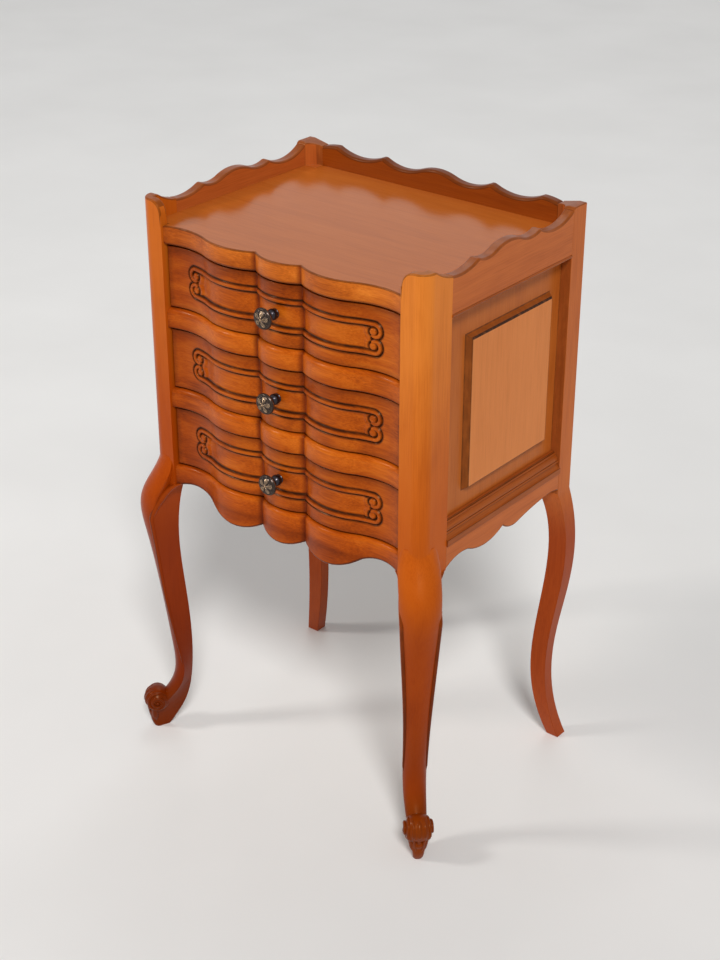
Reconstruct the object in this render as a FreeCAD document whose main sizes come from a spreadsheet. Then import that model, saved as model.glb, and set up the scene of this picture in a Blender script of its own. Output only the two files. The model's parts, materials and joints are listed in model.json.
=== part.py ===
import FreeCAD, Part
import os
import re

import Sketcher

# Bedside chest of three drawers: serpentine front, cabriole front legs on scroll feet, scalloped gallery.
# Millimetres. +Z is up, the drawers open towards -Y, the origin is on the floor under the chest's middle.

SIZES = {
    # Case
    "opening_half": 170.0,
    "post_width": 32.0,
    "post_depth": 46.0,
    "post_round": 16.0,
    "post_drop": 61.0,
    "ear_reach": 18.0,
    "ear_drop": 25.0,
    "ear_bow": 4.1,
    "side_ear_reach": 29.0,
    "side_ear_bow": 6.0,
    "rear_post_drop": 28.0,
    "case_depth": 298.0,
    "front_set": 140.0,
    "rear_post_width": 30.0,
    "rear_post_depth": 26.0,
    "leg_height": 390.0,
    "drawer_height": 76.8,
    "rail_height": 24.4,
    "top_thick": 22.6,
    # Gallery
    "gallery_rise": 28.5,
    "gallery_thick": 13.0,
    "gallery_drop": 30.0,
    "fin_depth": 11.0,
    "shoulder_round": 16.0,
    "corner_cove": 17.0,
    "rear_peak_in": 9.0,
    "side_crest_front": 18.0,
    "side_crest_rear": 23.0,
    "side_peak_front": 93.0,
    "side_peak_rear": 91.0,
    "side_peak_drop": 6.0,
    "side_dip": 10.5,
    "side_hump_half": 25.0,
    "side_hump_drop": 6.5,
    "side_hump_bow": 5.1,
    "side_small_dip": 3.2,
    "back_hump_half": 24.0,
    "back_hump_drop": 5.3,
    "back_hump_bow": 4.6,
    "back_peak_drop": 1.0,
    "back_peak_end": 23.0,
    "back_peak_step": 70.5,
    "back_inner_dip": 6.0,
    "back_outer_dip": 8.3,
    "back_end_drop": 4.5,
    "back_end_bow": 0.8,
    # Serpentine front in plan
    "front_return": 3.0,
    "hollow_run": 65.0,
    "hollow_end": 1.0,
    "hollow_bow": 6.3,
    "lobe_bow": 8.6,
    "cusp_half": 32.5,
    "cusp_set": 4.5,
    "centre_bow": 10.5,
    # Front apron
    "apron_run": 55.0,
    "apron_end_drop": 29.0,
    "apron_arch_bow": 6.0,
    "apron_lobe_bow": 12.5,
    "apron_cusp_drop": 35.5,
    "apron_centre_bow": 7.7,
    # Sides
    "side_panel_thick": 13.0,
    "field_proud": 7.0,
    "field_taper": 30.0,
    "field_front": 43.0,
    "field_rear": 22.0,
    "field_low": 23.0,
    "field_high": 36.0,
    "moulding_high": 26.5,
    "moulding_rise": 1.0,
    "moulding_proud": 15.0,
    "moulding_foot": 7.4,
    "moulding_cove": 2.1,
    "moulding_step_out": 9.3,
    "moulding_step_up": 14.6,
    "moulding_round": 2.6,
    "moulding_lip_out": 4.5,
    "moulding_lip_up": 22.8,
    "side_apron_thick": 22.0,
    "side_ear": 28.7,
    "side_arch_run": 43.0,
    "side_arch_drop": 21.5,
    "side_arch_bow": 4.5,
    "side_lobe_run": 68.0,
    "side_lobe_bow": 8.7,
    "side_notch_drop": 20.7,
    "side_curl_run": 29.0,
    "side_curl_drop": 29.0,
    "side_curl_bow": 3.5,
    "rear_arch_run": 25.0,
    "rear_arch_drop": 19.5,
    "rear_arch_bow": 1.3,
    "rear_ear": 22.4,
    # Back
    "back_panel_thick": 5.0,
    "back_panel_inset": 6.0,
    "back_panel_groove": 8.0,
    "back_rail_thick": 18.0,
    "back_rail_high": 30.0,
    "pin_head_radius": 3.0,
    "pin_head": 1.2,
    "pin_radius": 1.2,
    "pin_length": 16.0,
    "pin_inset": 12.0,
    # Front leg stations: level, outermost point, arris and its half width, inner corner
    "socket_rise": 10.0,
    "socket_out": -8.0,
    "socket_arris": -20.0,
    "socket_half": 19.0,
    "socket_in": -44.0,
    "knee_drop": 48.0,
    "knee_out": 19.0,
    "knee_arris": 2.0,
    "knee_half": 24.5,
    "knee_in": -30.0,
    "thigh_drop": 95.0,
    "thigh_out": 16.0,
    "thigh_arris": 3.0,
    "thigh_half": 22.3,
    "thigh_in": -24.5,
    "calf_drop": 175.0,
    "calf_out": 2.8,
    "calf_arris": -4.5,
    "calf_half": 17.6,
    "calf_in": -28.5,
    "shin_z": 125.0,
    "shin_out": -8.6,
    "shin_arris": -18.0,
    "shin_half": 14.4,
    "shin_in": -33.8,
    "ankle_z": 72.0,
    "ankle_out": -6.0,
    "ankle_arris": -18.0,
    "ankle_half": 13.8,
    "ankle_in": -30.5,
    "heel_z": 32.0,
    "heel_out": 23.0,
    "heel_arris": 12.0,
    "heel_half": 10.5,
    "heel_in": -19.0,
    "toe_out": 21.0,
    "toe_arris": 12.0,
    "toe_half": 4.6,
    "toe_in": 1.0,
    "scroll_out": 15.0,
    "scroll_z": 42.0,
    "scroll_radius": 14.5,
    "scroll_half": 10.0,
    "scroll_crown": 2.2,
    "eye_radius": 7.5,
    "eye_half": 15.5,
    # Rear leg stations: diagonal swing of the outer corner, level, width, depth
    "hip_swing": 10.5,
    "hip_drop": 85.0,
    "hip_width": 25.0,
    "hip_depth": 22.0,
    "stifle_swing": 10.0,
    "stifle_drop": 140.0,
    "stifle_width": 25.0,
    "stifle_depth": 21.0,
    "hock_swing": -4.0,
    "hock_z": 165.0,
    "hock_width": 23.0,
    "hock_depth": 17.5,
    "pastern_swing": -8.5,
    "pastern_z": 100.0,
    "pastern_width": 22.0,
    "pastern_depth": 16.0,
    "fetlock_swing": -2.0,
    "fetlock_z": 50.0,
    "fetlock_width": 20.0,
    "fetlock_depth": 16.5,
    "hoof_swing": 14.0,
    "hoof_width": 17.0,
    "hoof_depth": 17.0,
    # Runners
    "runner_thick": 12.0,
    "runner_width": 28.0,
    "guide_high": 16.0,
    "guide_play": 1.5,
    "kicker_thick": 9.0,
    "kicker_width": 30.0,
    "stop_gap": 0.3,
    "stop_depth": 9.7,
    "stop_high": 15.0,
    "stop_width": 14.0,
    "block_side": 20.0,
    "block_high": 8.0,
    # Drawers
    "front_gap": 1.5,
    "drawer_setback": 2.5,
    "front_thick": 26.0,
    "field_depth": 2.5,
    "field_half": 128.0,
    "field_rise": 19.0,
    "field_end_bow": 8.5,
    "drawer_gap": 3.0,
    "drawer_side_thick": 11.0,
    "drawer_rim_gap": 17.5,
    "drawer_back_thick": 10.0,
    "tail_length": 12.0,
    "tail_half": 6.0,
    "tail_flare": 1.8,
    "bottom_lift": 8.0,
    "bottom_thick": 5.0,
    "bottom_groove": 5.0,
    # Knobs
    "knob_radius": 12.4,
    "knob_length": 25.0,
    "knob_head": 9.0,
    "knob_cup": 2.4,
    "knob_cup_set": 1.5,
    "knob_rim": 3.6,
    "knob_edge": 1.2,
    "knob_dome": 1.2,
    "knob_button": 2.5,
    "knob_fillet": 1.2,
    "knob_neck_radius": 4.2,
    "knob_bead_radius": 6.0,
    "knob_base_radius": 7.0,
    "knob_base": 2.0,
    "knob_hole_depth": 10.0,
    "screw_radius": 2.0,
    "screw_play": 0.05,
    "screw_hole_play": 0.4,
    "screw_tip_gap": 0.5,
    "screw_head_radius": 4.5,
    "screw_head": 3.0,
}

TOUCH = 1e-6
FRONT_TAIL_COUNT = 3
REAR_TAIL_COUNT = 2
PIN_COUNT = 4
SIDES = {"left": -1, "right": 1}
CORNER_BOW = 0.292893
DIAGONAL = 0.707107
LEG_TURN = 45
WORD = re.compile(r"[a-z][a-z_]+")

# Places that several pieces share, as formulas of the sizes
FRONT = "(-front_set)"
BACK = "(case_depth - front_set)"
OUTER = "(opening_half + post_width)"
SIDE_FACE = "(opening_half + post_width - gallery_thick)"
SIDE_INNER = "(opening_half + post_width - gallery_thick - side_panel_thick)"
POST_BACK = "(post_depth - front_set)"
REAR_FRONT = "(case_depth - rear_post_depth - front_set)"
REAR_INNER = "(opening_half + post_width - rear_post_width)"
GALLERY_BACK = "(case_depth - gallery_thick - front_set)"
POST_FOOT = "(leg_height - post_drop)"
REAR_FOOT = "(leg_height - rear_post_drop)"
APRON_END = "(leg_height - apron_end_drop)"
SIDE_BASE = "(leg_height + moulding_rise)"
TOP_UNDER = "(leg_height + 3 * drawer_height + 2 * rail_height)"
TOP = "(leg_height + 3 * drawer_height + 2 * rail_height + top_thick)"
CREST = "(leg_height + 3 * drawer_height + 2 * rail_height + top_thick + gallery_rise)"
GALLERY_FOOT = f"({TOP} - gallery_drop)"
BACK_PANEL_FRONT = "(case_depth - gallery_thick + back_panel_inset - front_set)"
BACK_PANEL_BACK = "(case_depth - gallery_thick + back_panel_inset + back_panel_thick - front_set)"
DRAWER_SIDE = "(opening_half - drawer_gap)"
DRAWER_INNER = "(opening_half - drawer_gap - drawer_side_thick)"
FRONT_BACK = "(front_thick - front_set)"
DRAWER_END = "(case_depth - rear_post_depth - stop_depth - stop_gap - front_set)"
BEYOND = "20"

doc = FreeCAD.newDocument("Bedside_chest")
sheet = doc.addObject("Spreadsheet::Sheet", "Sizes")
for row, (alias, amount) in enumerate(SIZES.items(), 1):
    sheet.set(f"A{row}", alias)
    sheet.set(f"B{row}", str(amount))
    sheet.setAlias(f"B{row}", alias)
doc.recompute()

pieces = []


def bound(formula):
    """The formula with each size's name pointing at its cell of the sheet."""
    return WORD.sub(lambda word: f"Sizes.{word[0]}" if word[0] in SIZES else word[0], str(formula))


def number(formula):
    """What the formula comes to with the sheet's present values."""
    return float(sheet.evalExpression(bound(formula)))


def keep(label, piece):
    """Names a finished piece, which is then written to its own file."""
    piece.Label = label
    pieces.append(piece)
    return piece


def place(piece, x="0", y="0", z="0", turn=0.0):
    """Sets a piece's place from formulas, turned about the upright axis."""
    piece.Placement = FreeCAD.Placement(FreeCAD.Vector(), FreeCAD.Rotation(FreeCAD.Vector(0, 0, 1), turn))
    for axis, formula in zip("xyz", (x, y, z)):
        piece.setExpression(f"Placement.Base.{axis}", bound(formula))
    return piece


def box(label, x, y, z):
    """A board between pairs of formulas on the three axes."""
    board = doc.addObject("Part::Box", label)
    for side, (low, high) in zip(("Length", "Width", "Height"), (x, y, z)):
        board.setExpression(side, bound(f"({high}) - ({low})"))
    return place(board, x[0], y[0], z[0])


def join(kind, label, base, tool):
    """A Cut, Fuse or Common of two pieces."""
    piece = doc.addObject(f"Part::{kind}", label)
    piece.Base = base
    piece.Tool = tool
    return piece


def group(label, members):
    """Separate solids that share one piece."""
    bundle = doc.addObject("Part::Compound", label)
    bundle.Links = members
    return bundle


def attach(body, role, name, offset, shift):
    """An empty sketch on one of the body's own planes, offset from it and shifted along it."""
    plane = next(feature for feature in body.Origin.OriginFeatures if feature.Role == role)
    sketch = body.newObject("Sketcher::SketchObject", name)
    sketch.AttachmentSupport = (plane, [""])
    sketch.MapMode = "FlatFace"
    sketch.setExpression("AttachmentOffset.Base.x", bound(shift))
    sketch.setExpression("AttachmentOffset.Base.z", bound(offset))
    return sketch


def fix(sketch, name, kind, places, formula):
    """Adds one dimension to a sketch and binds it to a formula."""
    index = sketch.addConstraint(Sketcher.Constraint(kind, *places, number(formula)))
    sketch.renameConstraint(index, name)
    sketch.setExpression(f"Constraints.{name}", bound(formula))


def outline(body, role, name, points, offset="0", shift="0"):
    """A closed sketch through points; a third formula bows the edge after it, to the left if positive."""
    sketch = attach(body, role, name, offset, shift)
    corners = [FreeCAD.Vector(number(point[0]), number(point[1]), 0) for point in points]
    after = points[1:] + points[:1]
    edges = []
    for point, start, end in zip(points, corners, corners[1:] + corners[:1]):
        if len(point) == 3:
            chord = end - start
            left = FreeCAD.Vector(-chord.y, chord.x, 0).normalize()
            middle = (start + end) / 2 + left * number(point[2])
            edges.append(sketch.addGeometry(Part.Arc(start, middle, end)))
        else:
            edges.append(sketch.addGeometry(Part.LineSegment(start, end)))

    def tip(edge, corner):
        return 1 if sketch.getPoint(edge, 1).distanceToPoint(corner) < TOUCH else 2

    for index, (point, follower, corner, edge) in enumerate(zip(points, after, corners, edges)):
        before = edges[index - 1]
        ends = (before, tip(before, corner), edge, tip(edge, corner))
        sketch.addConstraint(Sketcher.Constraint("Coincident", *ends))
        fix(sketch, f"u{index}", "DistanceX", (-1, 1, edge, tip(edge, corner)), point[0])
        fix(sketch, f"v{index}", "DistanceY", (-1, 1, edge, tip(edge, corner)), point[1])
        if len(point) == 3:
            run = f"(({follower[0]}) - ({point[0]}))"
            rise = f"(({follower[1]}) - ({point[1]}))"
            radius = f"(({run}^2 + {rise}^2) / 4 + ({point[2]})^2) / (2 * abs({point[2]}))"
            fix(sketch, f"r{index}", "Radius", (edge,), radius)
    return sketch


def pad(body, sketch, length):
    """Pads a sketch along its plane's axis."""
    feature = body.newObject("PartDesign::Pad", f"{sketch.Name}_pad")
    feature.Profile = sketch
    feature.setExpression("Length", bound(length))
    return feature


def board(label, role, points, low, high):
    """A board with an outline on one plane, from low to high along that plane's axis."""
    body = doc.addObject("PartDesign::Body", label)
    start = f"-({high})" if role == "XZ_Plane" else low
    pad(body, outline(body, role, f"{label}_outline", points, start), f"({high}) - ({low})")
    return body


def spin(body, sketch, axis):
    """Turns a sketch about one of its own axes."""
    feature = body.newObject("PartDesign::Revolution", f"{sketch.Name}_turning")
    feature.Profile = sketch
    feature.ReferenceAxis = (sketch, [axis])
    feature.Angle = 360
    return feature


def turned(label, points):
    """A piece turned about the Y axis, from an outline of places along it and radii."""
    body = doc.addObject("PartDesign::Body", label)
    spin(body, outline(body, "YZ_Plane", f"{label}_outline", points), "H_Axis")
    return body


def loft(label, sketches, body):
    """A smooth loft through sketches of one body."""
    feature = body.newObject("PartDesign::AdditiveLoft", f"{label}_loft")
    feature.Profile = sketches[0]
    feature.Sections = sketches[1:]
    return feature


def flip(points):
    """The outline's mirror image about the upright axis."""
    return [(f"-({point[0]})", point[1], *(f"-({bow})" for bow in point[2:])) for point in points]


def span(side, low, high):
    """A pair of formulas for the right side, mirrored for the left."""
    return (low, high) if side > 0 else (f"-({high})", f"-({low})")


def serpentine(setback="0"):
    """The front's curve in plan, left to right: two hollows, two lobes and a centre lobe between cusps."""
    turn = "(opening_half - hollow_run)"
    returned = f"{FRONT} + front_return + {setback}"
    swell = f"{FRONT} + hollow_end + {setback}"
    cusp = f"{FRONT} + cusp_set + {setback}"
    return [
        ("-opening_half", returned, "hollow_bow"),
        (f"-{turn}", swell, "-lobe_bow"),
        ("-cusp_half", cusp, "-centre_bow"),
        ("cusp_half", cusp, "-lobe_bow"),
        (turn, swell, "hollow_bow"),
        ("opening_half", returned),
    ]


def crest_side():
    """Outline above the side gallery's crest, front to back."""
    middle = "(case_depth / 2)"
    high = f"({CREST} + {BEYOND})"
    peak = f"({CREST} - side_peak_drop)"
    swell = f"({CREST} - side_hump_drop)"
    return [
        (f"{FRONT} - {BEYOND}", CREST),
        (f"{FRONT} + side_crest_front", CREST, "-side_dip"),
        (f"{FRONT} + side_peak_front", peak, "-side_small_dip"),
        (f"{FRONT} + {middle} - side_hump_half", swell, "side_hump_bow"),
        (f"{FRONT} + {middle} + side_hump_half", swell, "-side_small_dip"),
        (f"{BACK} - side_peak_rear", peak, "-side_dip"),
        (f"{BACK} - side_crest_rear", CREST),
        (f"{BACK} + {BEYOND}", CREST),
        (f"{BACK} + {BEYOND}", high),
        (f"{FRONT} - {BEYOND}", high),
    ]


def crest_back():
    """Outline of the back gallery, with its scalloped top edge."""
    outer = f"({REAR_INNER} - back_peak_end)"
    inner = f"({REAR_INNER} - back_peak_end - back_peak_step)"
    hump = f"({CREST} - back_hump_drop)"
    peak = f"({CREST} - back_peak_drop)"
    end = f"({CREST} - back_end_drop)"
    return [
        (f"-{REAR_INNER}", GALLERY_FOOT),
        (REAR_INNER, GALLERY_FOOT),
        (REAR_INNER, end, "-back_end_bow"),
        (outer, peak, "back_outer_dip"),
        (inner, peak, "back_inner_dip"),
        ("back_hump_half", hump, "-back_hump_bow"),
        ("-back_hump_half", hump, "back_inner_dip"),
        (f"-{inner}", peak, "back_outer_dip"),
        (f"-{outer}", peak, "-back_end_bow"),
        (f"-{REAR_INNER}", end),
    ]


def station_level(station):
    """A leg station's level: above or below the case's foot, above the floor, or on it."""
    for name, level in (("rise", "leg_height + {}"), ("drop", "leg_height - {}"), ("z", "{}")):
        if f"{station}_{name}" in SIZES:
            return level.format(f"{station}_{name}")
    return "0"


def cabriole(label):
    """A front leg below its post, in a frame whose X runs out along the diagonal from the post's corner."""
    body = doc.addObject("PartDesign::Body", label)
    sections = []
    for station in ("socket", "knee", "thigh", "calf", "shin", "ankle", "heel", "toe"):
        level = station_level(station)
        ring = [
            (f"{station}_arris", f"-{station}_half", f"-({station}_out - {station}_arris)"),
            (f"{station}_arris", f"{station}_half"),
            (f"{station}_in", "0"),
        ]
        sections.append(outline(body, "XY_Plane", f"{label}_{station}", ring, level))
    loft(label, sections, body)
    scroll = [
        ("0", "-eye_half"),
        ("eye_radius", "-eye_half"),
        ("scroll_radius", "-scroll_half", "-scroll_crown"),
        ("scroll_radius", "scroll_half"),
        ("eye_radius", "eye_half"),
        ("0", "eye_half"),
    ]
    spin(body, outline(body, "XY_Plane", f"{label}_scroll", scroll, "scroll_z", "scroll_out"), "V_Axis")
    return body


def front_leg(name, side, crest):
    """Post, gallery return, cabriole leg and scroll foot in one piece."""
    label = f"front_{name}_leg"
    plan = [
        ("opening_half", FRONT),
        (f"{OUTER} - post_round", FRONT, f"-{CORNER_BOW} * post_round"),
        (OUTER, f"{FRONT} + post_round"),
        (OUTER, POST_BACK),
        ("opening_half", POST_BACK),
    ]
    face = [
        ("opening_half", APRON_END, "ear_bow"),
        ("opening_half + ear_reach", f"{APRON_END} - ear_drop"),
        ("opening_half + ear_reach", POST_FOOT),
        (OUTER, POST_FOOT),
        (OUTER, CREST),
        ("opening_half + shoulder_round", CREST, f"-{CORNER_BOW} * shoulder_round"),
        ("opening_half", f"{CREST} - shoulder_round"),
    ]
    profile = [
        (FRONT, POST_FOOT),
        (f"{POST_BACK} - side_ear_reach", POST_FOOT, "side_ear_bow"),
        (POST_BACK, "leg_height - side_ear"),
        (POST_BACK, CREST),
        (FRONT, CREST),
    ]
    if side < 0:
        plan, face = flip(plan), flip(face)
    upright = board(f"{label}_plan", "XY_Plane", plan, POST_FOOT, CREST)
    front_view = board(f"{label}_face", "XZ_Plane", face, FRONT, POST_BACK)
    side_view = board(f"{label}_profile", "YZ_Plane", profile, *span(side, "opening_half", OUTER))
    front_cut = join("Common", f"{label}_front_cut", upright, front_view)
    post = join("Common", f"{label}_post", front_cut, side_view)
    ledge = box(f"{label}_ledge", span(side, "opening_half", SIDE_FACE),
                (f"{FRONT} + fin_depth", POST_BACK), (TOP_UNDER, f"{CREST} + {BEYOND}"))
    housed = join("Cut", f"{label}_housed", post, ledge)
    crested = join("Cut", f"{label}_crested", housed, crest)
    leg = place(cabriole(f"{label}_cabriole"), f"{side} * {OUTER}", FRONT, "0", -90 + side * LEG_TURN)
    return keep(label, join("Fuse", f"{label}_whole", crested, leg))


def rear_leg(name, side, crest):
    """Square rear post on a plain curved leg that swings along its diagonal."""
    label = f"rear_{name}_leg"
    body = doc.addObject("PartDesign::Body", f"{label}_curve")
    sections = []
    for station in ("post", "hip", "stifle", "hock", "pastern", "fetlock", "hoof"):
        if station == "post":
            swing, width, depth, level = "0", "rear_post_width", "rear_post_depth", REAR_FOOT
        else:
            swing = f"({DIAGONAL} * {station}_swing)"
            width, depth, level = f"{station}_width", f"{station}_depth", station_level(station)
        ring = [
            (f"{swing} - {width}", f"{swing} - {depth}"),
            (swing, f"{swing} - {depth}"),
            (swing, swing),
            (f"{swing} - {width}", swing),
        ]
        ring = flip(ring) if side < 0 else ring
        sections.append(outline(body, "XY_Plane", f"{label}_{station}", ring, level))
    loft(label, sections, body)
    place(body, f"{side} * {OUTER}", BACK)
    post = box(f"{label}_post", span(side, REAR_INNER, OUTER), (REAR_FRONT, BACK), (REAR_FOOT, CREST))
    cove = doc.addObject("Part::Cylinder", f"{label}_cove")
    cove.setExpression("Radius", bound("corner_cove"))
    cove.setExpression("Height", bound(f"gallery_rise + {BEYOND}"))
    place(cove, f"{side} * ({SIDE_FACE} - corner_cove)", f"{GALLERY_BACK} - corner_cove", TOP)
    coved = join("Cut", f"{label}_coved", post, cove)
    crested = join("Cut", f"{label}_crested", coved, crest)
    end = f"({CREST} - back_end_drop)"
    fall = [
        (f"{REAR_INNER} - {BEYOND}", end),
        (REAR_INNER, end),
        (f"{OUTER} - rear_peak_in", CREST),
        (f"{OUTER} - rear_peak_in", f"{CREST} + {BEYOND}"),
        (f"{REAR_INNER} - {BEYOND}", f"{CREST} + {BEYOND}"),
    ]
    fall = flip(fall) if side < 0 else fall
    sloped = join("Cut", f"{label}_sloped", crested,
                  board(f"{label}_fall", "XZ_Plane", fall, REAR_FRONT, BACK))
    groove = box(f"{label}_groove", span(side, REAR_INNER, f"{REAR_INNER} + back_panel_groove"),
                 (BACK_PANEL_FRONT, BACK_PANEL_BACK), (SIDE_BASE, GALLERY_FOOT))
    grooved = join("Cut", f"{label}_grooved", sloped, groove)
    return keep(label, join("Fuse", f"{label}_whole", grooved, body))


def side_wall(name, side, crest):
    """Gallery board, fielded panel, moulding and apron of one side."""
    run = (POST_BACK, REAR_FRONT)
    blank = box(f"{name}_gallery_blank", span(side, SIDE_FACE, OUTER), run, (GALLERY_FOOT, CREST))
    keep(f"{name}_gallery", join("Cut", f"{name}_gallery_cut", blank, crest))

    panel = doc.addObject("PartDesign::Body", f"{name}_panel")
    sheet_edges = [
        (run[0], SIDE_BASE),
        (run[1], SIDE_BASE),
        (run[1], TOP_UNDER),
        (run[0], TOP_UNDER),
    ]
    low, high = span(side, SIDE_INNER, SIDE_FACE)
    pad(panel, outline(panel, "YZ_Plane", f"{name}_panel_sheet", sheet_edges, low), f"({high}) - ({low})")
    field = [
        (f"{run[0]} + field_front", "leg_height + moulding_high + field_low"),
        (f"{run[1]} - field_rear", "leg_height + moulding_high + field_low"),
        (f"{run[1]} - field_rear", f"{GALLERY_FOOT} - field_high"),
        (f"{run[0]} + field_front", f"{GALLERY_FOOT} - field_high"),
    ]
    field_edges = outline(panel, "YZ_Plane", f"{name}_field", field, f"{side} * {SIDE_FACE}")
    raised = pad(panel, field_edges, "field_proud")
    raised.Reversed = side < 0
    raised.setExpression("TaperAngle", bound("-field_taper"))
    keep(f"{name}_side_panel", panel)

    profile = [
        (SIDE_FACE, SIDE_BASE),
        (f"{SIDE_FACE} + moulding_proud", SIDE_BASE),
        (f"{SIDE_FACE} + moulding_proud", f"{SIDE_BASE} + moulding_foot", "moulding_cove"),
        (f"{SIDE_FACE} + moulding_step_out", f"{SIDE_BASE} + moulding_step_up", "-moulding_round"),
        (f"{SIDE_FACE} + moulding_lip_out", f"{SIDE_BASE} + moulding_lip_up"),
        (f"{SIDE_FACE} + moulding_lip_out", f"{SIDE_BASE} + moulding_high"),
        (SIDE_FACE, f"{SIDE_BASE} + moulding_high"),
    ]
    profile = flip(profile) if side < 0 else profile
    keep(f"{name}_side_moulding", board(f"{name}_moulding", "XZ_Plane", profile, *run))

    arch = f"({run[0]} + side_arch_run)"
    notch = f"({arch} + side_lobe_run)"
    scallop = [
        (run[0], SIDE_BASE),
        (run[0], "leg_height - side_ear", "side_arch_bow"),
        (arch, "leg_height - side_arch_drop", "-side_lobe_bow"),
        (notch, "leg_height - side_notch_drop", "-side_curl_bow"),
        (f"{notch} + side_curl_run", "leg_height - side_curl_drop", "rear_arch_bow"),
        (f"{run[1]} - rear_arch_run", "leg_height - rear_arch_drop", "rear_arch_bow"),
        (run[1], "leg_height - rear_ear"),
        (run[1], SIDE_BASE),
    ]
    low, high = span(side, f"{OUTER} - side_apron_thick", OUTER)
    keep(f"{name}_side_apron", board(f"{name}_apron", "YZ_Plane", scallop, low, high))


def front_frame():
    """Top panel, the rails between the drawers and the scalloped apron."""
    top = serpentine() + [
        ("opening_half", f"{FRONT} + fin_depth"),
        (SIDE_FACE, f"{FRONT} + fin_depth"),
        (SIDE_FACE, REAR_FRONT),
        (REAR_INNER, REAR_FRONT),
        (REAR_INNER, GALLERY_BACK),
        (f"-{REAR_INNER}", GALLERY_BACK),
        (f"-{REAR_INNER}", REAR_FRONT),
        (f"-{SIDE_FACE}", REAR_FRONT),
        (f"-{SIDE_FACE}", f"{FRONT} + fin_depth"),
        ("-opening_half", f"{FRONT} + fin_depth"),
    ]
    keep("top_panel", board("top_board", "XY_Plane", top, TOP_UNDER, TOP))

    plan = serpentine() + [("opening_half", POST_BACK), ("-opening_half", POST_BACK)]
    for name, count in (("lower", 1), ("upper", 2)):
        high = f"(leg_height + {count} * (drawer_height + rail_height))"
        keep(f"{name}_rail", board(f"{name}_rail_board", "XY_Plane", plan, f"{high} - rail_height", high))

    nick = "(leg_height - apron_cusp_drop)"
    turn = "(opening_half - apron_run)"
    scallop = [
        ("-opening_half", APRON_END, "apron_arch_bow"),
        (f"-{turn}", APRON_END, "-apron_lobe_bow"),
        ("-cusp_half", nick, "-apron_centre_bow"),
        ("cusp_half", nick, "-apron_lobe_bow"),
        (turn, APRON_END, "apron_arch_bow"),
        ("opening_half", APRON_END),
        ("opening_half", "leg_height"),
        ("-opening_half", "leg_height"),
    ]
    front = f"{FRONT} - {BEYOND}"
    shape = board("apron_face", "XZ_Plane", scallop, front, FRONT_BACK)
    back = serpentine() + [("opening_half", FRONT_BACK), ("-opening_half", FRONT_BACK)]
    foot = f"{POST_FOOT} - {BEYOND}"
    form = board("apron_plan", "XY_Plane", back, foot, "leg_height")
    keep("front_apron", join("Common", "apron_common", form, shape))


def back_frame():
    """Back gallery, thin back panel held in the rear posts and pinned to the rail between them."""
    keep("back_gallery", board("back_gallery_board", "XZ_Plane", crest_back(), GALLERY_BACK, BACK))
    rail_front = f"({BACK_PANEL_FRONT} - back_rail_thick)"
    reach = f"({REAR_INNER} - pin_inset)"
    pins = []
    for column in range(PIN_COUNT):
        pin = turned(f"back_pin_{column}", [
            ("-pin_length", "0"),
            ("-pin_length", "pin_radius"),
            ("0", "pin_radius"),
            ("0", "pin_head_radius"),
            ("pin_head", "pin_head_radius"),
            ("pin_head", "0"),
        ])
        share = 2 * column / (PIN_COUNT - 1) - 1
        pins.append(place(pin, f"{share} * {reach}", BACK_PANEL_BACK, f"{SIDE_BASE} + pin_inset"))
    row = keep("back_pins", group("back_pin_row", pins))
    edge = f"({REAR_INNER} + back_panel_groove)"
    panel = box("back_sheet", (f"-{edge}", edge), (BACK_PANEL_FRONT, BACK_PANEL_BACK),
                (SIDE_BASE, GALLERY_FOOT))
    keep("back_panel", join("Cut", "back_sheet_drilled", panel, row))
    rail = box("back_rail_bar", (f"-{REAR_INNER}", REAR_INNER), (rail_front, BACK_PANEL_FRONT),
               (SIDE_BASE, f"{SIDE_BASE} + back_rail_high"))
    keep("back_rail", join("Cut", "back_rail_drilled", rail, row))


def runners():
    """A runner and a guide strip for each drawer side, kickers under the top, stops and glue blocks."""
    run = (POST_BACK, REAR_FRONT)
    stops, blocks = [], []
    for name, side in SIDES.items():
        for count, level in enumerate(("lower", "middle", "upper")):
            base = f"(leg_height + {count} * (drawer_height + rail_height))"
            fence = f"({DRAWER_SIDE} + guide_play)"
            keep(f"{level}_{name}_runner", box(f"{level}_{name}_strip",
                                               span(side, f"{SIDE_INNER} - runner_width", SIDE_INNER),
                                               run, (f"{base} - runner_thick", base)))
            keep(f"{level}_{name}_guide", box(f"{level}_{name}_fence", span(side, fence, SIDE_INNER),
                                              run, (base, f"{base} + guide_high")))
            stops.append(box(f"{level}_{name}_stop", span(side, f"{fence} - stop_width", fence),
                             (f"{DRAWER_END} + stop_gap", run[1]), (base, f"{base} + stop_high")))
        keep(f"{name}_kicker", box(f"{name}_kicker_strip",
                                   span(side, f"{SIDE_INNER} - kicker_width", SIDE_INNER),
                                   run, (f"{TOP_UNDER} - kicker_thick", TOP_UNDER)))
        low = "(leg_height - runner_thick - block_high)"
        high = "(leg_height - runner_thick)"
        blocks.append(box(f"{name}_front_block", span(side, "opening_half - block_side", "opening_half"),
                          (FRONT_BACK, POST_BACK), (low, high)))
        inner = f"({OUTER} - side_apron_thick)"
        blocks.append(box(f"{name}_rear_block", span(side, f"{inner} - block_side", inner),
                          (f"{REAR_FRONT} - block_side", REAR_FRONT), (low, high)))
    keep("drawer_stops", group("stop_set", stops))
    keep("glue_blocks", group("block_set", blocks))


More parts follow.
